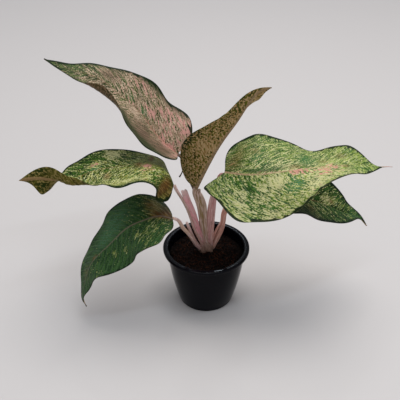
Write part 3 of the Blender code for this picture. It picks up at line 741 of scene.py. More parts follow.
def lined(nodes, look, noise, colour):
    """The side veins, the midrib and the dark, uneven margin."""
    line = nodes.math("PINGPONG", nodes.plus(noise.vein, PAST_THE_BASE), VEIN_PITCH / 2.0)
    colour = nodes.ramp(line, *VEIN_LINE, colour, look["vein_colour"], look["veins"])
    taper = nodes.math("MULTIPLY_ADD", nodes.attribute("share"), RIB_TAPER, RIB_WIDTH)
    ragged = nodes.math("MULTIPLY_ADD", noise.fleck, *RIB_RAGGED)
    beside = nodes.math("SUBTRACT", nodes.plus(noise.width, ragged), taper)
    rib = nodes.times(nodes.step(beside, *RIB_SOFT), nodes.attribute("rib"))
    colour = nodes.mix(rib, colour, look["rib_colour"])
    uneven = nodes.math("MULTIPLY_ADD", noise.coarse, *MARGIN_UNEVEN)
    uneven = nodes.plus(uneven, nodes.times(noise.fleck, MARGIN_RAGGED))
    rim = nodes.plus(nodes.attribute("edge"), uneven)
    outer = look["margin"]
    return nodes.ramp(rim, outer + MARGIN_SOFT, outer, colour, MARGIN, MARGIN_COVER)


def underside(nodes, look, noise):
    """Olive and dark, deepened by the painted shade of the dark marks, with tan and brown spots and a
    pale keel.
    """
    olive = nodes.ramp(noise.broad, 0.42, 0.58, look["under_dark"], look["under_olive"])
    # painted shade on the underside, from the same dark marks
    olive = nodes.ramp(nodes.attribute("dark"), 0.0, 0.9, olive, look["deep"])
    spots = nodes.ramp(noise.narrow, 0.38, 0.60, look["under_brown"], look["under_tan"])
    under = nodes.mix(where(nodes, noise.spot, "tan", 0.50, 0.12, 0.03), olive, spots)
    return nodes.ramp(noise.width, *KEEL_EDGE, under, look["keel"], KEEL_COVER)


def leaf_material(name, look):
    """Flecks in streaks along the side veins, with the shares of each colour set by the marks."""
    nodes = Nodes(name)
    noise = leaf_noises(nodes, look)
    upper = stained(nodes, look, noise, flecked(nodes, look, noise))
    upper = lined(nodes, look, noise, upper)
    colour = nodes.mix(nodes.attribute("under"), upper, underside(nodes, look, noise))
    nodes.bump(nodes.blend(noise.fine, noise.fleck, 0.5), 0.25, 0.0004)
    return nodes.surface(colour, LEAF_ROUGHNESS, look["gloss"])


# --- petioles ---------------------------------------------------------------------------------
# Each petiole follows its CAD route. Offsets are millimetres to the viewer's left of the route,
# keyed along the petiole. A strand is a round stalk over a span of the route; a wing is the thin
# sheath between or beside strands, from inner to outer, bowed and ending at a share of the route.
# colours: near the soil, near the blade, and of the streaks; sheath: the colour of the wings.
# tuck moves the end under the blade, in millimetres.

PETIOLES = {
    "leaf_back_left": dict(
        strands=[dict(offsets=[0, -2.5, -4.0, -4.5, -2.5, 0], radii=[2.2, 2.0, 1.9, 1.8, 1.8, 1.8])],
        # its colour darkens toward the blade as painted shade, where it runs behind the leaves in front
        # of it
        colours=((0.20, 0.12, 0.09), (0.10, 0.07, 0.055), (0.24, 0.14, 0.12)),
    ),
    "leaf_left": dict(
        strands=[dict(offsets=[-0.6, -0.9, -1.0, -2.3, -2.3, -0.6],
                      radii=[2.0, 1.7, 1.5, 1.5, 1.6, 1.7])],
        wings=[dict(end=0.925, inner=[-0.6, -1.2, -1.8, -2.4, -3.0, -3.2, -5.0],
                    outer=[-4.6, -5.6, -7.2, -8.6, -10.0, -10.4, -11.8], bow=1.2, free=True)],
        colours=((0.46, 0.24, 0.20), (0.36, 0.25, 0.19), (0.60, 0.40, 0.36)),
        sheath=(0.68, 0.29, 0.31),
    ),
    "leaf_front_left": dict(
        strands=[dict(offsets=[0, -0.3, -0.8, -1.1, -0.8, -0.6],
                      radii=[2.2, 2.1, 2.1, 2.1, 2.1, 1.6])],
        colours=((0.38, 0.20, 0.20), (0.56, 0.38, 0.26), (0.62, 0.43, 0.40)),
    ),
    "leaf_upright": dict(
        strands=[dict(offsets=[-0.3, -0.5, -0.5, -0.1, 0.2, 2.2],
                      radii=[1.6, 1.4, 1.3, 1.3, 1.4, 1.6]),
                 dict(offsets=[-2.6, -3.6, -5.1, -6.5, -7.7, -3.4],
                      radii=[1.6, 1.6, 1.7, 1.8, 1.9, 1.6])],
        wings=[dict(end=1.0, inner=[0.3, 0.1, 0.1, 0.5, 0.8, 2.4],
                    outer=[-3.0, -4.0, -5.5, -6.9, -8.1, -3.8], bow=-0.8)],
        colours=((0.44, 0.25, 0.19), (0.40, 0.29, 0.20), (0.58, 0.42, 0.36)),
        sheath=(0.23, 0.155, 0.060),
    ),
    "leaf_right": dict(
        strands=[dict(offsets=[1.2, 1.4, 2.3, 2.4, 1.4, 0.4], radii=[1.8, 1.8, 1.8, 1.7, 1.6, 1.2]),
                 dict(offsets=[-3.8, -4.0, -3.8, -3.0, -1.4, -0.4],
                      radii=[1.8, 1.8, 1.8, 1.7, 1.6, 1.2])],
        wings=[dict(end=0.85, inner=[1.2, 1.4, 2.3, 2.4, 1.6], outer=[-3.8, -4.0, -3.8, -3.0, -1.6],
                    bow=-0.4)],
        colours=((0.50, 0.26, 0.20), (0.60, 0.33, 0.32), (0.72, 0.46, 0.43)),
        sheath=(0.56, 0.28, 0.26), tuck=(1.0, 1.0, -4.0),
    ),
    "leaf_lower_right": dict(
        strands=[dict(offsets=[-1.5, -3.4, -3.0, 0.6, 0.2, 0],
                      radii=[2.4, 2.8, 3.0, 3.1, 2.3, 1.7]),
                 dict(offsets=[0.6, 0.8, 1.3, 0.4], radii=[0.9, 1.4, 1.5, 0.9], span=(0.08, 0.47),
                      free=True)],
        colours=((0.46, 0.24, 0.19), (0.56, 0.23, 0.16), (0.66, 0.38, 0.31)),
    ),
}
STUB = dict(
    strands=[dict(offsets=[0.8, 0.8, 0.8, 0.3, -0.6, -1.1], radii=[1.7, 1.7, 1.7, 1.7, 1.8, 1.4],
                  free=True)],
    colours=((0.36, 0.20, 0.18), (0.54, 0.34, 0.30), (0.60, 0.41, 0.37)),
)
HOOK = dict(strands=[dict(offsets=[0, 0, 0], radii=[1.1, 0.6, 1.0])],
            colours=((0.050, 0.036, 0.030), (0.035, 0.028, 0.028), (0.085, 0.065, 0.055)))
TIP_STRAND = dict(offsets=[0, 0, 0], radii=[0.55, 0.5, 0.25])
TIP_COLOURS = ((0.30, 0.22, 0.10), (0.52, 0.33, 0.30), (0.40, 0.28, 0.20))
PALE_END = (0.62, 0.44, 0.40)
FOOT_COLOUR = (0.085, 0.055, 0.042)
PETIOLE_RINGS = 70
STUB_RINGS = 40
THREAD_RINGS = 20
STRAND_SIDES = 18
STRAND_RIBBING = 0.05  # how far a strand's five soft ribs stand out, as a share
STRAND_RIBS = 5.0
WING_COLUMNS = 9
WING_HALF_THICKNESS = 0.35 * MM
WING_THINNING = 0.85  # of that thickness is gone at a wing's free end
WING_RAGGED = 1.3 * MM
FREE_FROM = 0.80  # a free end dries from this share of its length on

CROWN_PLACE = (0.0, 4.0)  # where the plant stands in the soil, in millimetres
CROWN_RINGS = [(57, 8.0, 5.6), (62, 8.6, 6.0), (66, 8.6, 5.8), (70, 7.4, 5.2), (74, 5.2, 4.2),
               (77, 2.4, 2.4)]  # (height, half width, half depth) in millimetres
CROWN_STEPS = 20
CROWN_SIDES = 48
CROWN_LOBES = 5.0
CROWN_LOBE_DEPTH = 0.07
CROWN_TWIST = 40.0 / 60.0  # radians a millimetre of height
CROWN_COLOURS = ((0.16, 0.10, 0.07), (0.46, 0.26, 0.20), (0.30, 0.17, 0.13))
CROWN_SHARE = 0.35  # its colours run as over this share of a petiole, from the foot

NO_TUCK = (0.0, 0.0, 0.0)


def petiole_route(leaf, blade, tuck):
    """The leaf's petiole, which bends into line with the midrib just before the blade."""
    base = blade.rib[0] + np.array(tuck) * MM
    direction = blade.along[0]
    points = [np.array(point) * MM for point in leaf["route"]]
    points += [base - direction * GENICULUM, base + direction * PETIOLE_OVERLAP]
    return smooth_route(points, PETIOLE_RINGS)


def route_frame(route):
    forward = unit(np.gradient(route, axis=0))
    wide = unit(np.cross(forward, (0.0, 1.0, 0.0)))
    return wide, np.cross(wide, forward)


def closed_tube(rings):
    """Vertices and faces of a closed tube through equal rings of points."""
    count, sides = rings.shape[:2]
    index = np.arange(count * sides).reshape(count, sides)
    after = np.roll(index, -1, axis=1)
    faces = np.stack((index[:-1], after[:-1], after[1:], index[1:]), -1).reshape(-1, 4).tolist()
    faces.append(index[0, ::-1].tolist())
    faces.append(index[-1].tolist())
    return rings.reshape(-1, 3), faces


def tube(rings, share, across, wing=0.0, free=0.0):
    """A tube's rings of points, with what its material reads from it."""
    even = np.ones(rings.shape[:2])
    return rings, dict(share=share * even, across=across * even, wing=wing * even,
                       free=free * even)


def free_end(local, is_free):
    """How dried each part of a strand or wing is: 0 until FREE_FROM, 1 at its free end."""
    return np.clip((local - FREE_FROM) / (1.0 - FREE_FROM), 0.0, 1.0) ** 1.5 * is_free


def circle(sides):
    return np.linspace(0.0, 2.0 * np.pi, sides, endpoint=False)


def spread(route, across, through, wide, thick):
    """Rings of points round a route, from distances to its side and through it."""
    return route[:, None] + across[..., None] * wide[:, None] + through[..., None] * thick[:, None]


def strand_tube(route, offsets, radii, span=(0.0, 1.0), free=False):
    wide, thick = route_frame(route)
    share = np.linspace(0.0, 1.0, len(route))
    used = (share >= span[0]) & (share <= span[1])
    share = share[used]
    local = (share - span[0]) / (span[1] - span[0])
    shift = keyed(offsets, local) * MM
    radius = keyed(radii, local) * MM
    angle = circle(STRAND_SIDES)
    ribbing = 1.0 + STRAND_RIBBING * np.cos(STRAND_RIBS * angle)
    across = radius[:, None] * (np.cos(angle) * ribbing)[None, :] + shift[:, None]
    through = radius[:, None] * (np.sin(angle) * ribbing)[None, :]
    rings = spread(route[used], across, through, wide[used], thick[used])
    return tube(rings, share[:, None], across / MM, 0.0, free_end(local, free)[:, None])


def wing_tube(route, end, inner, outer, bow, free=False):
    """A thin bowed sheet beside a strand, closed all round, with a ragged top if it ends free."""
    wide, thick = route_frame(route)
    rings = int(end * (len(route) - 1)) + 1
    local = np.linspace(0.0, 1.0, rings)
    low = keyed(inner, local)[:, None] * MM
    high = keyed(outer, local)[:, None] * MM
    over = np.linspace(0.0, 1.0, WING_COLUMNS)
    both_faces = np.concatenate((over, over[::-1]))
    across = low + (high - low) * both_faces[None, :]
    half = WING_HALF_THICKNESS * np.concatenate((np.ones(WING_COLUMNS), -np.ones(WING_COLUMNS)))
    thin = 1.0 - WING_THINNING * np.clip((local - 0.7) / 0.3, 0.0, 1.0)[:, None] * free
    bowed = bow * MM * (1.0 - (2.0 * both_faces - 1.0) ** 2)
    through = half[None, :] * thin + bowed[None, :]
    points = spread(route[:rings], across, through, wide[:rings], thick[:rings])
    if free:
        teeth = np.sin(11.0 * both_faces) + 0.6 * np.sin(23.0 * both_faces + 1.0)
        forward = unit(route[rings - 1] - route[rings - 3])
        points[-1] += (WING_RAGGED * teeth)[:, None] * forward
    return tube(points, local[:, None] * end, across / MM, 1.0, free_end(local, free)[:, None])


def join_tubes(tubes):
    """One list of vertices and faces, and joined values, from several tubes."""
    verts, faces = [], []
    start = 0
    for rings, values in tubes:
        points, quads = closed_tube(rings)
        verts.append(points)
        faces += [[i + start for i in face] for face in quads]
        start += len(points)
    joined = {key: np.concatenate([values[key].ravel() for rings, values in tubes])
              for key in tubes[0][1]}
    return np.concatenate(verts), faces, joined


def petiole_material(name, colours, sheath=None):
    """Streaked along its length; colours: near the soil, near the blade, and of the streaks."""
    low, high, streaked = colours
    nodes = Nodes(name)
    share = nodes.attribute("share")
    across = nodes.attribute("across")
    along = nodes.times(share, 7.0)
    streak = nodes.noise(nodes.combine(nodes.times(across, 0.9), along), 1.0)
    furrow = nodes.noise(nodes.combine(nodes.times(across, 1.6), along, 5.0), 1.0, 1.0)
    mottle = nodes.noise(nodes.place(), 240.0)
    colour = nodes.ramp(share, 0.0, 0.85, low, high)
    if sheath:
        colour = nodes.mix(nodes.attribute("wing"), colour, sheath)
    colour = nodes.ramp(streak, 0.46, 0.60, colour, streaked)
    # painted shade in the furrows: streaks along the petiole darkened to a shaded copy of its colour
    colour = nodes.ramp(furrow, 0.48, 0.36, colour, darkened(low, 0.6), most=0.45)
    colour = nodes.ramp(mottle, 0.55, 0.75, colour, darkened(low, 0.45), most=0.5)
    colour = nodes.ramp(share, 0.22, 0.02, colour, FOOT_COLOUR, most=0.7)
    colour = nodes.mix(nodes.attribute("free"), colour, PALE_END)
    nodes.bump(streak, 0.3, 0.0004)
    return nodes.surface(colour, 0.45, 0.25)


# a darker copy of a colour: painted shade where the furrows use it, a darker tone in the mottle
def darkened(colour, share):
    return tuple(share * part for part in colour)


def tube_piece(name, tubes, material, replaced):
    """One piece joined from tubes, with the values that its material reads."""
    verts, faces, values = join_tubes(tubes)
    obj = new_piece(name, verts, faces, material, replaced)
    for key, value in values.items():
        add_attribute(obj.data, key, value)
    tidy_mesh(obj)


def make_petiole(name, route, parts):
    tubes = [strand_tube(route, **strand) for strand in parts["strands"]]
    tubes += [wing_tube(route, **wing) for wing in parts.get("wings", ())]
    material = petiole_material(name, parts["colours"], parts.get("sheath"))
    tube_piece(name, tubes, material, "stem_and_petioles")


def make_crown():
    """The short stem that the petioles rise from, lobed where each sheath wraps it."""
    heights = np.linspace(0.0, 1.0, CROWN_STEPS)
    z, wide, deep = (keyed([ring[k] for ring in CROWN_RINGS], heights)[:, None] * MM
                     for k in range(3))
    angle = circle(CROWN_SIDES)[None, :]
    lobed = 1.0 + CROWN_LOBE_DEPTH * np.sin(CROWN_LOBES * angle + CROWN_TWIST * z / MM)
    x = CROWN_PLACE[0] * MM + wide * lobed * np.cos(angle)
    y = CROWN_PLACE[1] * MM + deep * lobed * np.sin(angle)
    rings = np.stack((x, y, z * np.ones_like(x)), -1)
    tubes = [tube(rings, CROWN_SHARE * heights[:, None], x / MM)]
    tube_piece("crown", tubes, petiole_material("crown", CROWN_COLOURS),
               "stem_and_petioles")


def make_drawn_out_tip():
    """The dried thread that the right leaf's tip ends in, which the CAD doesn't have."""
    route = smooth_route(np.array(TIP_ROUTE) * MM, THREAD_RINGS)
    material = petiole_material("drawn_out_tip", TIP_COLOURS)
    tube_piece("leaf_right_tip", [strand_tube(route, **TIP_STRAND)], material,
               "leaf_right")


def make_petioles():
    for name, leaf in LEAVES.items():
        parts = PETIOLES[name]
        route = petiole_route(leaf, Blade(leaf), parts.get("tuck", NO_TUCK))
        make_petiole(name.replace("leaf_", "petiole_"), route, parts)
    make_petiole("petiole_old_stub", smooth_route(np.array(STUB_ROUTE) * MM, STUB_RINGS), STUB)
    make_petiole("dried_sheath_end", smooth_route(np.array(HOOK_ROUTE) * MM, THREAD_RINGS), HOOK)
    make_crown()
    make_drawn_out_tip()


# --- the pot ----------------------------------------------------------------------------------

POT_LIP_RADIUS = 50.0 * MM
POT_LIP_INNER_RADIUS = 44.0 * MM
POT_LIP_HEIGHT = 3.8 * MM
POT_LIP_ROUNDING = 1.4 * MM
POT_HEIGHT = 73.6 * MM
POT_BODY_TOP_RADIUS = 45.0 * MM
POT_BODY_BASE_RADIUS = 32.0 * MM
POT_BODY_BULGE = 0.6  # how much fuller than a cone the side is
POT_BODY_TOP = POT_HEIGHT - POT_LIP_HEIGHT
POT_BASE_ROUNDING = 2.0 * MM
POT_WALL = 1.4 * MM
POT_FLOOR = 2.8 * MM
POT_FLOOR_ROUNDING = 1.6 * MM
POT_PAD_RADIUS = 11.0 * MM
POT_RECESS_DEPTH = 1.2 * MM
POT_RECESS_SLOPE = 0.8 * MM
POT_FOOT_RADIUS = 28.0 * MM
POT_AXIS = 0.01 * MM  # where the turned profile closes, merged to one point afterwards
POT_TURNS = 144
POT_SIDE_ROWS = 26
POT_INNER_ROWS = 14
POT_LIP_INSET = 1.2 * MM  # how far the underside of the lip lies in from its edge
POT_BLUE = (0.0006, 0.0008, 0.0022)
POT_BLACK = (0.0022, 0.0020, 0.0034)
POT_DUST = (0.020, 0.017, 0.017)
DRAIN_HOLES = 6
DRAIN_HOLE_RADIUS = 3.5 * MM
DRAIN_HOLE_SIDES = 32
DRAIN_CIRCLE_RADIUS = 19.5 * MM
DRAIN_TURN = 0.4  # share of a step that the ring of drain holes is turned by


def pot_body_radius(height):
    share = height / POT_BODY_TOP
    swollen = share + POT_BODY_BULGE * share * (1.0 - share)
    return POT_BODY_BASE_RADIUS + (POT_BODY_TOP_RADIUS - POT_BODY_BASE_RADIUS) * swollen


def arc(centre, radius, start, end, count):
    """Points on an arc in the (radius, height) plane, between two angles in degrees."""
    angles = np.radians(np.linspace(start, end, count))
    return [(centre[0] + radius * math.cos(a), centre[1] + radius * math.sin(a)) for a in angles]


def turned(profile, turns):
    """Vertices and quads of a closed profile turned about Z."""
    profile = np.array(profile)
    angle = circle(turns)
    points = np.stack((profile[:, 0][None] * np.cos(angle)[:, None],
                       profile[:, 0][None] * np.sin(angle)[:, None],
                       np.repeat(profile[:, 1][None], turns, axis=0)), -1)
    index = np.arange(points.shape[0] * points.shape[1]).reshape(points.shape[:2])
    after = np.roll(index, -1, axis=0)
    up = np.roll(index, -1, axis=1)
    up_after = np.roll(after, -1, axis=1)
    faces = np.stack((index, after, up_after, up), -1).reshape(-1, 4).tolist()
    return points.reshape(-1, 3), faces


def pot_profile():
    """The whole pot: recessed underside, side, rolled lip, inner wall and floor."""
    rounding = POT_LIP_ROUNDING
    lip_middle = POT_LIP_RADIUS - rounding
    base_edge = pot_body_radius(POT_BASE_ROUNDING) - POT_BASE_ROUNDING
    profile = [
        (POT_AXIS, 0.0),
        (POT_PAD_RADIUS, 0.0),
        (POT_PAD_RADIUS + POT_RECESS_SLOPE, POT_RECESS_DEPTH),
        (POT_FOOT_RADIUS - POT_RECESS_SLOPE, POT_RECESS_DEPTH),
        (POT_FOOT_RADIUS, 0.0),
    ]
    profile += arc((base_edge, POT_BASE_ROUNDING), POT_BASE_ROUNDING, -90.0, 0.0, 8)
    for height in np.linspace(0.08, 1.0, POT_SIDE_ROWS) * POT_BODY_TOP:
        profile.append((pot_body_radius(height), height))
    profile.append((POT_LIP_RADIUS - POT_LIP_INSET, POT_BODY_TOP + 0.02 * MM))
    profile += arc((lip_middle, POT_BODY_TOP + rounding), rounding, -50.0, 0.0, 5)
    profile += arc((lip_middle, POT_HEIGHT - rounding), rounding, 15.0, 90.0, 7)
    inner_edge = POT_LIP_INNER_RADIUS + rounding
    profile += arc((inner_edge, POT_HEIGHT - rounding), rounding, 90.0, 180.0, 8)
    for height in np.linspace(0.97, 0.10, POT_INNER_ROWS) * POT_BODY_TOP:
        profile.append((pot_body_radius(height) - POT_WALL, height))
    corner = POT_FLOOR + POT_FLOOR_ROUNDING
    middle = pot_body_radius(corner) - POT_WALL - POT_FLOOR_ROUNDING
    profile += arc((middle, corner), POT_FLOOR_ROUNDING, 0.0, -90.0, 5)
    profile.append((POT_AXIS, POT_FLOOR))
    return profile


def drain_drill():
    """Six upright cylinders where the drain holes are cut."""
    work = bmesh.new()
    for k in range(DRAIN_HOLES):
        angle = 2.0 * math.pi * (k + DRAIN_TURN) / DRAIN_HOLES
        place = Matrix.Translation((DRAIN_CIRCLE_RADIUS * math.cos(angle),
                                    DRAIN_CIRCLE_RADIUS * math.sin(angle), POT_FLOOR / 2.0))
        bmesh.ops.create_cone(work, cap_ends=True, segments=DRAIN_HOLE_SIDES,
                              radius1=DRAIN_HOLE_RADIUS, radius2=DRAIN_HOLE_RADIUS,
                              depth=2.0 * POT_FLOOR, matrix=place)
    mesh = bpy.data.meshes.new("drain_drill")
    work.to_mesh(mesh)
    work.free()
    drill = bpy.data.objects.new("drain_drill", mesh)
    bpy.context.scene.collection.objects.link(drill)
    return drill


def cut(obj, drill):
    """Take the drill's shape out of an object and throw the drill away."""
    modifier = obj.modifiers.new("holes", "BOOLEAN")
    modifier.operation = "DIFFERENCE"
    modifier.solver = "EXACT"
    modifier.object = drill
    ready = obj.evaluated_get(bpy.context.evaluated_depsgraph_get())
    mesh = bpy.data.meshes.new_from_object(ready)
    obj.modifiers.clear()
    obj.data = mesh
    bpy.data.objects.remove(drill)


def make_pot():
    verts, faces = turned(pot_profile(), POT_TURNS)
    pot = new_piece("pot_fine", verts, faces, pot_material(), "pot")
    tidy_mesh(pot, merge=2.5 * POT_AXIS)
    cut(pot, drain_drill())
    pot.data.shade_smooth()


def pot_material():
    """Nearly black glossy plastic, a little bluer in places, with specks of dust."""
    nodes = Nodes("pot_plastic")
    place = nodes.place()
    cloud = nodes.step(nodes.noise(place, 60.0, 3.0), 0.3, 0.7)
    colour = nodes.mix(cloud, POT_BLUE, POT_BLACK)
    colour = nodes.ramp(nodes.noise(place, 380.0, 3.0), 0.66, 0.80, colour, POT_DUST)
    nodes.bump(nodes.noise(place, 900.0), 0.05, 0.0002)
    roughness = nodes.math("MULTIPLY_ADD", cloud, 0.04, 0.11)
    return nodes.surface(colour, roughness, 0.08)


# --- the soil ---------------------------------------------------------------------------------

SOIL_EDGE_HEIGHT = 61.0 * MM
SOIL_MIDDLE_HEIGHT = 63.5 * MM
SOIL_BOTTOM = POT_FLOOR + 0.3 * MM
SOIL_SLACK = 0.5 * MM  # between the root ball's side and the pot
SOIL_RADIUS = pot_body_radius(SOIL_EDGE_HEIGHT) - POT_WALL - 0.2 * MM
SOIL_RINGS = 60
SOIL_TURNS = 150
SOIL_SIDE_RINGS = 12
SOIL_SIDE_DROP = 3.0 * MM  # the smooth side ends this far below the rough top's edge
LUMP_HEIGHT = 0.45 * MM
GRAIN_HEIGHT = 0.35 * MM
STEM_CLEARANCE = 6.0 * MM  # least distance from the stem's middle to a crumb's or a fibre's

CRUMBS = 1500
CRUMB_MARGIN = 1.2 * MM
CRUMB_SIZE = (3.0, 0.32)  # shape and scale of a gamma spread, in millimetres
CRUMB_STRETCH = (0.6, 1.3)
CRUMB_ROUGHNESS = 0.16

FIBRES = 230
FIBRE_MARGIN = 5.0 * MM
FIBRE_REACH = 0.8 * MM  # no fibre's middle line comes nearer to the soil's edge
FIBRE_LENGTH = (3.0, 11.0)
FIBRE_BEND = 90.0  # spread of their bends, in hundredths of a radian over a length
FIBRE_RISE = (0.5, 1.4)  # how high the middle of a fibre arches
FIBRE_LIFT = 0.3 * MM
FIBRE_RADIUS = (0.14, 0.32)
FIBRE_STEPS = 7
FIBRE_SIDES = 5


def soil_height(x, y):
    """The surface of the soil: low at the pot's wall, with lumps and hollows."""
    share = np.hypot(x, y) / SOIL_RADIUS
    height = SOIL_EDGE_HEIGHT + (SOIL_MIDDLE_HEIGHT - SOIL_EDGE_HEIGHT) * (1.0 - share ** 2)
    # waves in several directions, in radians a metre
    lumps = (np.sin(x * 310 + 1.3) * np.cos(y * 270 + 0.4) + np.sin(x * 620 + y * 480 + 2.0)
             + 0.7 * np.sin(x * 1100 - y * 900) * np.cos(y * 1300 + 0.8))
    return height + LUMP_HEIGHT * lumps


def make_soil_surface(material):
    """The root ball: its rough top, and a side that follows the inside of the pot."""
    radius = SOIL_RADIUS * np.linspace(0.02, 1.0, SOIL_RINGS)[:, None]
    angle = circle(SOIL_TURNS)
    x, y = radius * np.cos(angle), radius * np.sin(angle)
    grain = np.random.default_rng(11).normal(0.0, GRAIN_HEIGHT, x.shape)
    top = np.stack((x, y, soil_height(x, y) + grain), -1)
    low = []
    for height in np.linspace(SOIL_BOTTOM, SOIL_EDGE_HEIGHT - SOIL_SIDE_DROP, SOIL_SIDE_RINGS):
        side = pot_body_radius(height) - POT_WALL - SOIL_SLACK
        if not low:
            low.append((0.5 * MM, height))
            side -= POT_FLOOR_ROUNDING
        low.append((side, height))
    low = [np.stack((r * np.cos(angle), r * np.sin(angle), np.full(SOIL_TURNS, z)), -1)
           for r, z in low]
    verts, faces = closed_tube(np.concatenate((np.array(low), top[::-1])))
    new_piece("soil_surface", verts, faces, material, "soil")


def ball_shape():
    work = bmesh.new()
    bmesh.ops.create_icosphere(work, subdivisions=1, radius=1.0)
    points = np.array([v.co[:] for v in work.verts])
    faces = np.array([[v.index for v in face.verts] for face in work.faces])
    work.free()
    return points, faces


def scattered(rng, count, reach):
    """Places spread evenly over the soil, outside the stem's foot."""
    stem_x, stem_y = (part * MM for part in CROWN_PLACE)
    places = []
    while len(places) < count:
        x, y = rng.uniform(-reach, reach, 2)
        if math.hypot(x, y) < reach and math.hypot(x - stem_x, y - stem_y) > STEM_CLEARANCE:
            places.append((x, y))
    return np.array(places)


def make_crumbs(material):
    rng = np.random.default_rng(21)
    points, faces = ball_shape()
    places = scattered(rng, CRUMBS, SOIL_RADIUS - CRUMB_MARGIN)
    size = rng.gamma(*CRUMB_SIZE, CRUMBS)[:, None, None] * MM
    stretch = rng.uniform(*CRUMB_STRETCH, (CRUMBS, 1, 3))
    rough = 1.0 + rng.normal(0.0, CRUMB_ROUGHNESS, (CRUMBS, len(points), 1))
    verts = points[None] * rough * stretch * size
    turn = rng.uniform(0.0, 2.0 * np.pi, CRUMBS)
    c, s = np.cos(turn)[:, None], np.sin(turn)[:, None]
    x = verts[..., 0] * c - verts[..., 1] * s + places[:, :1]
    y = verts[..., 0] * s + verts[..., 1] * c + places[:, 1:]
    z = verts[..., 2] + soil_height(places[:, 0], places[:, 1])[:, None]
    verts = np.stack((x, y, z), -1).reshape(-1, 3)
    triangles = (faces[None] + np.arange(CRUMBS)[:, None, None] * len(points)).reshape(-1, 3)
    new_piece("soil_crumbs", verts, triangles.tolist(), material, "soil")


def make_fibres(material):
    """Short curved coir fibres lying on the soil."""
    rng = np.random.default_rng(31)
    angle = circle(FIBRE_SIDES)
    step = np.linspace(-0.5, 0.5, FIBRE_STEPS)
    tubes = []
    for x, y in scattered(rng, FIBRES, SOIL_RADIUS - FIBRE_MARGIN):
        length = rng.uniform(*FIBRE_LENGTH) * MM
        heading = rng.uniform(0.0, 2.0 * np.pi)
        turn = heading + rng.normal(0.0, FIBRE_BEND) * MM * 10.0 * step
        px = x + length * step * np.cos(turn)
        py = y + length * step * np.sin(turn)
        if not (np.hypot(px, py) < SOIL_RADIUS - FIBRE_REACH).all():
            continue
        arch = rng.uniform(*FIBRE_RISE) * MM * (1.0 - (2.0 * step) ** 2)
        route = np.stack((px, py, soil_height(px, py) + arch + FIBRE_LIFT), -1)
        forward = unit(np.gradient(route, axis=0))
        wide = unit(np.cross(forward, (0.0, 0.0, 1.0)))
        radius = rng.uniform(*FIBRE_RADIUS) * MM
        rings = (route[:, None] + radius * (np.cos(angle)[:, None] * wide[:, None]
                 + np.sin(angle)[:, None] * np.cross(wide, forward)[:, None]))
        tubes.append(tube(rings, 0.0, 0.0))
    verts, faces = join_tubes(tubes)[:2]
    new_piece("soil_fibres", verts, faces, material, "soil")


def soil_material(name, dark, light):
    nodes = Nodes(name)
    grain = nodes.noise(nodes.place(), 420.0, 4.0, 0.65)
    nodes.bump(grain, 0.5, 0.0006)
    return nodes.surface(nodes.ramp(grain, 0.35, 0.7, dark, light), 0.95, 0.1)


def make_soil():
    make_soil_surface(soil_material("soil_mix", (0.0015, 0.0010, 0.0010), (0.006, 0.003, 0.002)))
    make_crumbs(soil_material("soil_crumb", (0.002, 0.0012, 0.001), (0.012, 0.005, 0.003)))
    make_fibres(soil_material("coir", (0.012, 0.004, 0.002), (0.070, 0.022, 0.010)))


make_pot()
make_soil()
make_petioles()
for name, leaf in LEAVES.items():
    make_leaf(name, leaf, {**PLAIN_LOOK, **LOOKS[name]})


# --- floor, light and camera ------------------------------------------------------------------

FLOOR_HALF_SIZE = 6.0
FLOOR_COLOUR = (0.490, 0.462, 0.450, 1.0)
FLOOR_ROUGHNESS = 0.6

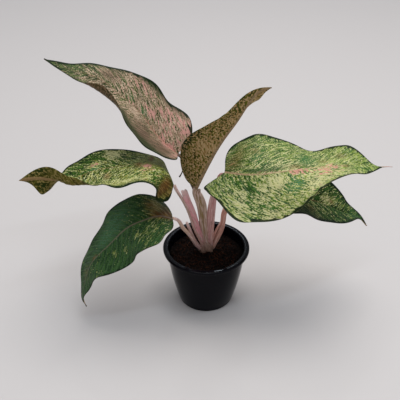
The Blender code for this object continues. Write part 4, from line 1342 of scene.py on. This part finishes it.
SKY_COLOUR = (0.92, 0.95, 1.0, 1.0)
SKY_STRENGTH = 0.66
COOL = (0.80, 0.90, 1.0)
LAMPS = {
    # a large soft one, above and a little behind
    "key": dict(place=(0.20, 0.40, 2.1), target=(0.0, 0.1, 0.0), size=(1.3, 1.3), power=32.0,
                colour=(1.0, 0.985, 0.965)),
    # a small cool one behind, aimed at the front of the pot's lip
    "window": dict(place=(0.055, 2.0, 1.81), target=(0.0, -0.046, 0.0736), size=(0.16, 0.10),
                   power=1.6, colour=COOL),
    # a thin cool one above the front
    "tube": dict(place=(0.14, -0.35, 1.30), target=(0.0, 0.0, 0.1), size=(0.7, 0.04),
                 power=3.0, colour=COOL),
}

CAMERA_PLACE = (-0.0072, -0.5505, 0.501)
CAMERA_TILT = math.radians(56.5)
CAMERA_LENS = 54.0
CAMERA_SENSOR = 36.0


def put_in_scene(obj):
    bpy.context.scene.collection.objects.link(obj)
    return obj


def make_floor():
    mesh = bpy.data.meshes.new("floor")
    size = FLOOR_HALF_SIZE
    mesh.from_pydata([(-size, -size, 0), (size, -size, 0), (size, size, 0), (-size, size, 0)],
                     [], [(0, 1, 2, 3)])
    nodes = Nodes("floor")
    nodes.shader.inputs["Base Color"].default_value = FLOOR_COLOUR
    nodes.shader.inputs["Roughness"].default_value = FLOOR_ROUGHNESS
    mesh.materials.append(nodes.material)
    put_in_scene(bpy.data.objects.new("floor", mesh))


def area_light(name, place, target, size, power, colour):
    data = bpy.data.lights.new(name, "AREA")
    data.shape = "RECTANGLE"
    data.size, data.size_y = size
    data.energy = power
    data.color = colour
    light = put_in_scene(bpy.data.objects.new(name, data))
    light.location = place
    light.rotation_euler = (Vector(target) - Vector(place)).to_track_quat("-Z", "Y").to_euler()


def make_world():
    world = bpy.data.worlds.new("studio")
    world.use_nodes = True
    back = world.node_tree.nodes["Background"]
    back.inputs["Color"].default_value = SKY_COLOUR
    back.inputs["Strength"].default_value = SKY_STRENGTH
    bpy.context.scene.world = world


def make_camera():
    data = bpy.data.cameras.new("camera")
    data.lens = CAMERA_LENS
    data.sensor_width = CAMERA_SENSOR
    camera = put_in_scene(bpy.data.objects.new("camera", data))
    camera.location = CAMERA_PLACE
    camera.rotation_euler = (CAMERA_TILT, 0.0, 0.0)
    bpy.context.scene.camera = camera


make_floor()
make_world()
for name, lamp in LAMPS.items():
    area_light(name, **lamp)
make_camera()
bpy.context.scene.view_settings.view_transform = "Standard"
